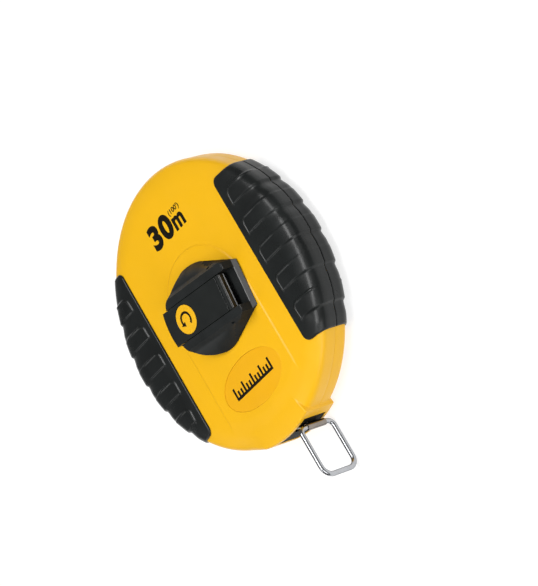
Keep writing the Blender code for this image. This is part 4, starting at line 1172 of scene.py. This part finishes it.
def make_rotor():
    """The part that carries the arm: two rails, a channel, the knuckle's pocket and the knob's well."""
    width = CHANNEL_HALF_WIDTH
    channel = block((-CUT_REACH, -width, CHANNEL_FLOOR_Z), (POCKET_START_X + 2 * MM, width, CUT_TOP_Z))
    rotor = combined(
        prism(rotor_outline(), ROTOR_BOTTOM_Z, ROTOR_TOP_Z + 1 * MM),
        ("INTERSECT", roof()),
        ("DIFFERENCE", channel),
        ("DIFFERENCE", block((POCKET_START_X, -width, POCKET_FLOOR_Z), (POCKET_END_X, width, CUT_TOP_Z))),
        ("DIFFERENCE", block((POCKET_START_X, -width, END_EDGE_Z), (END_FOOT_X, width, CUT_TOP_Z))),
        ("DIFFERENCE", sloped_end()))
    notches = []
    for y in (-NOTCH_Y, NOTCH_Y):
        low = (NOTCH_X - NOTCH_HALF_LENGTH, y - NOTCH_HALF_WIDTH, NOTCH_FLOOR_Z)
        high = (NOTCH_X + NOTCH_HALF_LENGTH, y + NOTCH_HALF_WIDTH, CUT_TOP_Z)
        notches.append(("DIFFERENCE", block(low, high)))
    rotor = combined(
        rounded(rotor, ROTOR_ROUNDING),
        *notches,
        ("UNION", cylinder(ROTOR_BOSS_RADIUS, ROTOR_BOSS_BOTTOM_Z, ROTOR_BOTTOM_Z + 0.6 * MM, steps=96)),
        ("DIFFERENCE", cylinder(WELL_RADIUS, WELL_BOTTOM_Z, CUT_TOP_Z, (KNOB_X, 0.0))),
        ("DIFFERENCE", rod_along_y(PIN_RADIUS + GAP, -PIN_HALF_LENGTH - GAP, CUT_REACH, HINGE_X, HINGE_Z)))
    body = piece("rotor", in_crank(crisp(rotor)), ROTOR_PLASTIC, "drum", ["crank_rotor"])
    paint_rotor_facing_light(body)


def highlight_strip(corner, edge, half_length, middle_y=0.0):
    """A strip along Y at a corner (x, z), with one sloped face that catches the light."""
    high, low = [(corner[0] + x, corner[1] + z) for x, z in edge]
    outline = [high, low, (low[0] - HIGHLIGHT_STRIP_DEPTH, low[1] - HIGHLIGHT_STRIP_DEPTH),
               (high[0] - HIGHLIGHT_STRIP_DEPTH, high[1] - HIGHLIGHT_STRIP_DEPTH)]
    mesh = side_prism(outline, half_length)
    mesh.transform(Matrix.Translation((0.0, middle_y, 0.0)))
    return mesh


def make_highlight_strips():
    """Painted highlights: strips of lighter, glossy plastic, with a sloped face that also catches the lamps,
    along the arm's end, the knuckle's two ribs, the rails' ends and the end wall.
    """
    half = ARM_HALF_WIDTH - HIGHLIGHT_STRIP_INSET
    strips = [highlight_strip((HINGE_X, HINGE_Z), edge, half) for edge in ARM_HIGHLIGHT_STRIPS]
    piece("arm_edges", in_crank(joined(strips)), PAINTED_HIGHLIGHT_PLASTIC, "arm")

    strips = [highlight_strip((RAIL_END_X, ROTOR_TOP_Z), RAIL_HIGHLIGHT_STRIP, RAIL_HIGHLIGHT_HALF_LENGTH, y)
              for y in (-RAIL_HIGHLIGHT_Y, RAIL_HIGHLIGHT_Y)]
    strips.append(highlight_strip((END_EDGE_X, END_EDGE_Z), WALL_HIGHLIGHT_STRIP, CHANNEL_HALF_WIDTH - GAP))
    piece("rotor_edges", in_crank(joined(strips)), PAINTED_HIGHLIGHT_PLASTIC, "drum")


def make_arm():
    """The folding arm: a bar with a bowed tab at one end and the knuckle at the other."""
    bow_radius = (ARM_HALF_WIDTH ** 2 + TAB_BULGE ** 2) / (2 * TAB_BULGE)
    bow_angle = math.asin(ARM_HALF_WIDTH / bow_radius)
    tab = arc((ARM_END_X + bow_radius, 0), bow_radius, math.pi - bow_angle, math.pi + bow_angle, 20)
    outline = tab + [(HINGE_X, -ARM_HALF_WIDTH), (HINGE_X, ARM_HALF_WIDTH)]
    knuckle = [(HINGE_X + x, HINGE_Z + z) for x, z in KNUCKLE_BLOCK]
    arm = combined(
        prism(outline, ARM_BOTTOM_Z, ARM_TOP_Z),
        ("UNION", rod_along_y(BARREL_RADIUS, -ARM_HALF_WIDTH, ARM_HALF_WIDTH, HINGE_X, HINGE_Z, 72)),
        ("UNION", side_prism(knuckle, ARM_HALF_WIDTH)))
    centre = (KNOB_X, 0.0)
    sticker_floor = ARM_TOP_Z - STICKER_DEPTH
    head_floor = sticker_floor - SPINDLE_HEAD_HEIGHT
    reach = ARM_HALF_WIDTH + 2 * MM
    arm = combined(
        rounded(arm, ARM_ROUNDING),
        ("DIFFERENCE", rod_along_y(PIN_RADIUS + GAP, -reach, reach, HINGE_X, HINGE_Z, 32)),
        ("DIFFERENCE", cylinder(STICKER_RADIUS + GAP, sticker_floor, ARM_TOP_Z + 2 * MM, centre, 96)),
        ("DIFFERENCE", cylinder(SPINDLE_HEAD_RADIUS + GAP, head_floor, ARM_TOP_Z, centre)),
        ("DIFFERENCE", cylinder(SPINDLE_RADIUS + GAP, ARM_BOTTOM_Z - 2 * MM, ARM_TOP_Z, centre)))
    piece("arm", in_crank(crisp(arm)), BLACK_PLASTIC, "arm", ["crank_arm"])


def make_sticker():
    """A round sticker with a plain arrow that shows which way to wind."""
    surface = ARM_TOP_Z + STICKER_RISE
    disc = cylinder(STICKER_RADIUS, ARM_TOP_Z - STICKER_DEPTH + GAP, surface, steps=96)
    disc = rounded(disc, STICKER_ROUNDING)
    place = CRANK_TURN @ Matrix.Translation((KNOB_X, 0, 0))
    disc.transform(place)
    piece("sticker", disc, PRINTED_VINYL, "arm", ["arm_sticker"])

    start, end, tip = ARROW_ANGLES
    outside = ARROW_RADIUS + ARROW_HALF_WIDTH
    inside = ARROW_RADIUS - ARROW_HALF_WIDTH
    band = arc((0, 0), outside, start, end, 30) + arc((0, 0), inside, end, start, 30)
    head = [(math.cos(angle) * radius, math.sin(angle) * radius)
            for angle, radius in ((end, ARROW_RADIUS + ARROW_HEAD_HALF_WIDTH), (tip, ARROW_RADIUS),
                                  (end, ARROW_RADIUS - ARROW_HEAD_HALF_WIDTH))]
    arrow = joined([prism(outline, surface, surface + PRINT_THICKNESS) for outline in (band, head)])
    arrow.transform(place)
    piece("sticker_arrow", arrow, PRINT_INK, "arm")


def make_knob():
    """The finger knob under the folded arm, and the rivet that it turns on."""
    top = KNOB_TOP_Z
    tip = KNOB_BOTTOM_Z
    bore = SPINDLE_RADIUS + GAP
    pocket = SPINDLE_HEAD_RADIUS + GAP
    pocket_top = tip + 1.4 * MM
    edge = 0.8 * MM
    profile = [(bore, top)] + arc((KNOB_RADIUS - edge, top - edge), edge, math.pi / 2, 0.0, 6)
    profile += [(KNOB_RADIUS, tip + 5.4 * MM), (KNOB_RADIUS - 0.12 * MM, tip + 4.2 * MM),
                (KNOB_RADIUS - 0.5 * MM, tip + 2.8 * MM), (KNOB_TIP_RADIUS + 0.25 * MM, tip + 1.4 * MM)]
    profile += arc((KNOB_TIP_RADIUS - 0.7 * MM, tip + 0.7 * MM), 0.7 * MM, 0.0, -math.pi / 2, 6)
    profile += arc((pocket + 0.3 * MM, tip + 0.3 * MM), 0.3 * MM, -math.pi / 2, -math.pi, 4)
    profile += [(pocket, pocket_top), (bore, pocket_top)]
    knob = turned(profile, 72)
    knob.transform(Matrix.Translation((KNOB_POINT.x, KNOB_POINT.y, 0)))
    piece("knob_grip", knob, BLACK_PLASTIC, "knob", ["crank_knob"])

    head_top = ARM_TOP_Z - STICKER_DEPTH - GAP
    head_bottom = head_top - SPINDLE_HEAD_HEIGHT + 2 * GAP
    tail_top = pocket_top - GAP
    tail_bottom = tip + 0.2 * MM
    profile = [(0.0, head_top), (SPINDLE_HEAD_RADIUS, head_top), (SPINDLE_HEAD_RADIUS, head_bottom),
               (SPINDLE_RADIUS, head_bottom), (SPINDLE_RADIUS, tail_top), (SPINDLE_TAIL_RADIUS, tail_top)]
    profile += arc((SPINDLE_TAIL_RADIUS - 0.6 * MM, tail_bottom + 0.6 * MM), 0.6 * MM, 0.0, -math.pi / 2, 6)
    rivet = turned(profile + [(0.0, tail_bottom)], 48)
    rivet.transform(Matrix.Translation((KNOB_POINT.x, KNOB_POINT.y, 0)))
    piece("knob_spindle", rivet, ZINC_STEEL, "arm", ["knob_rivet"])


# ---------------------------------------------------------------- tape end and ring

def tape_frame():
    """X along the tape away from the ring, Y across its thickness outwards, Z across its width."""
    back = -TAPE_DIRECTION
    outward = Vector((0, 0, 1)).cross(back)
    if outward.dot(RING_PIVOT) < 0:
        outward = -outward
    matrix = Matrix((back, outward, Vector((0, 0, 1)))).transposed().to_4x4()
    return Matrix.Translation(RING_PIVOT) @ matrix


def in_tape(mesh):
    """A mesh drawn in the tape's own frame, moved into place."""
    mesh.transform(tape_frame())
    return mesh


def make_tape_end():
    """The tape's first stretch with its scale, the folded clip and its two rivets."""
    half = TAPE_THICKNESS / 2
    start = CLIP_RADIUS + GAP
    leader = block((start, -half, -TAPE_WIDTH / 2), (start + LEADER_LENGTH, half, TAPE_WIDTH / 2))
    leader = rounded(leader, 0.12 * MM)
    piece("leader", in_tape(leader), TAPE_COATING, "tape_end", ["tape_leader"])

    edge = -TAPE_WIDTH / 2
    marks = []
    for number in range(1, TAPE_MARK_COUNT + 1):
        x = start + number * TAPE_MARK_PITCH
        length = TAPE_MARK_SHORT if number % TAPE_MARK_LONG_EVERY else TAPE_MARK_LONG
        marks.append(block((x - TAPE_MARK_HALF_WIDTH, half, edge + TAPE_MARK_INSET),
                           (x + TAPE_MARK_HALF_WIDTH, half + PRINT_THICKNESS, edge + length)))
    piece("leader_scale", in_tape(joined(marks)), PRINT_INK, "tape_end")

    plate_low = half + GAP
    plate_high = plate_low + CLIP_PLATE_THICKNESS
    width = CLIP_HALF_LENGTH - 0.2 * MM
    jaw = block((1.2 * MM, plate_low, -width), (CLIP_PLATE_LENGTH, plate_high, width))
    barrel = cylinder(CLIP_RADIUS, -CLIP_HALF_LENGTH, CLIP_HALF_LENGTH, steps=64)
    clip = combined(barrel, ("UNION", jaw))
    clip = combined(rounded(clip, 0.15 * MM),
                    ("DIFFERENCE", cylinder(CLIP_BORE_RADIUS, -10 * MM, 10 * MM, steps=48)))
    piece("clip", in_tape(crisp(clip)), ROLLED_STEEL, "tape_end", ["ring_clip"])

    for number, side in ((1, -1), (2, 1)):
        over = plate_high + RIVET_LIFT
        under = -half - RIVET_LIFT
        dome = [(RIVET_HEAD_RADIUS * math.cos(a), over + RIVET_DOME_HEIGHT * math.sin(a))
                for a in np.linspace(math.pi / 2, 0.0, 7)]
        profile = dome + [(RIVET_RADIUS, over), (RIVET_RADIUS, under),
                          (RIVET_HEAD_RADIUS, under), (RIVET_HEAD_RADIUS - 0.3 * MM, under - 0.35 * MM),
                          (0.0, under - 0.4 * MM)]
        rivet = turned(profile, 32)
        rivet.transform(Matrix.Rotation(math.radians(-90), 4, "X"))
        rivet.transform(Matrix.Translation((RIVET_BACKSET, 0, side * RIVET_SPACING / 2)))
        piece(f"rivet_{number}", in_tape(rivet), ZINC_STEEL, "tape_end",
              [f"clip_rivet_{number}"])


def make_ring():
    """The pull ring: a rounded rectangle of wire through the clip, wider bends at its far end."""
    half = RING_HALF_WIDTH
    corners = [((-RING_NEAR_BEND, half - RING_NEAR_BEND), RING_NEAR_BEND, 0.0),
               ((-RING_LENGTH + RING_FAR_BEND, half - RING_FAR_BEND), RING_FAR_BEND, math.pi / 2),
               ((-RING_LENGTH + RING_FAR_BEND, -half + RING_FAR_BEND), RING_FAR_BEND, math.pi),
               ((-RING_NEAR_BEND, -half + RING_NEAR_BEND), RING_NEAR_BEND, 1.5 * math.pi)]
    path = []
    for centre, radius, start in corners:
        path += arc(centre, radius, start, start + math.pi / 2, 14)
    ring = tube(path, RING_WIRE_RADIUS, 28)
    ring.transform(Matrix.Translation(RING_PIVOT))
    piece("pull_ring", ring, PLATED_WIRE, "ring", ["end_ring"])


# ---------------------------------------------------------------- CAD nodes that stay in view

def paint_cad_nodes():
    """Pieces inside the case keep their CAD shape and get their real finish."""
    finishes = {"spool_hub": SPOOL_PLASTIC, "spool_flange_front": SPOOL_PLASTIC,
                "spool_flange_back": SPOOL_PLASTIC, "tape_coil": TAPE_COATING, "spool_washer": ZINC_STEEL,
                "hinge_pin": ZINC_STEEL, "rotor_screw_1": ZINC_STEEL, "rotor_screw_2": ZINC_STEEL,
                "rotor_screw_3": ZINC_STEEL}
    for name, material in finishes.items():
        mesh = frame["nodes"][name].data
        mesh.materials.clear()
        mesh.materials.append(material)


# ---------------------------------------------------------------- floor, light and camera

def make_floor():
    """A white floor under the reel, which is part of the stage and not of the object."""
    shader = Shader("floor", (0.3, 0.3, 0.3), 0.8)
    shader.vary_colour(3.0, 0.01)
    shader.bsdf.inputs["Emission Color"].default_value = (1.0, 1.0, 1.0, 1.0)
    shader.bsdf.inputs["Emission Strength"].default_value = 0.78
    bm = bmesh.new()
    bmesh.ops.create_grid(bm, x_segments=1, y_segments=1, size=4.0)
    mesh = bpy.data.meshes.new("floor")
    bm.to_mesh(mesh)
    bm.free()
    mesh.materials.append(shader.material)
    floor = linked("floor", mesh)


def softbox(name, direction, distance, size, length, brightness):
    """A rectangular area light aimed at the reel, its length along the reel's Y axis."""
    light = bpy.data.lights.new(name, "AREA")
    light.shape = "RECTANGLE"
    light.size = size
    light.size_y = length
    light.energy = brightness * math.pi * size * length
    lamp = linked(name, light)
    towards = Vector(direction).normalized()
    across = Vector((0, 1, 0)).cross(towards).normalized()
    turn = Matrix((across, towards.cross(across), towards)).transposed().to_4x4()
    lamp.matrix_world = Matrix.Translation(towards * distance) @ turn


def make_light():
    """A soft overhead key, a strip that draws the shoulders, and fills round the reel."""
    world = bpy.data.worlds.new("studio")
    world.use_nodes = True
    background = world.node_tree.nodes["Background"]
    background.inputs["Color"].default_value = (1.0, 1.0, 1.0, 1.0)
    background.inputs["Strength"].default_value = 0.11
    bpy.context.scene.world = world
    softbox("key", (0.2, -0.1, 1.0), 1.5, 1.7, 1.7, 0.55)
    softbox("strip", (0.17, 0.14, 1.0), 1.5, 0.42, 1.5, 7.6)
    softbox("front_fill", (0.35, -0.8, 0.6), 0.55, 0.3, 0.3, 2.6)
    softbox("side_fill", (0.69, 0.26, 0.69), 1.5, 0.4, 0.6, 1.0)
    softbox("back_fill", (-0.69, -0.28, 0.64), 1.5, 0.45, 0.7, 2.4)


def make_camera():
    """The camera, rolled and aimed beside the drum's middle."""
    flat = math.cos(CAMERA_ELEVATION)
    back = Vector((flat * math.cos(CAMERA_AZIMUTH), flat * math.sin(CAMERA_AZIMUTH),
                   math.sin(CAMERA_ELEVATION)))
    level_right = Vector((0, 0, 1)).cross(back).normalized()
    level = Matrix((level_right, back.cross(level_right), back)).transposed()
    turn = level @ Matrix.Rotation(CAMERA_ROLL, 3, "Z")
    right = turn.col[0]
    up = turn.col[1]
    camera = bpy.data.cameras.new("camera")
    camera.lens = CAMERA_LENS
    camera.clip_end = 20.0
    holder = linked("camera", camera)
    aim = Vector((0, 0, MIDDLE_Z)) + right * CAMERA_AIM_RIGHT + up * CAMERA_AIM_UP
    holder.matrix_world = Matrix.Translation(aim + back * CAMERA_DISTANCE) @ turn.to_4x4()
    bpy.context.scene.camera = holder
    bpy.context.scene.view_settings.view_transform = "Standard"


make_front_shell()
make_back_shell()
make_case_screws()
make_grips()
make_mouth_insert()
make_badge()
make_length_print()
make_rotor()
make_arm()
make_highlight_strips()
make_sticker()
make_knob()
make_tape_end()
make_ring()
paint_cad_nodes()
make_floor()
make_light()
make_camera()
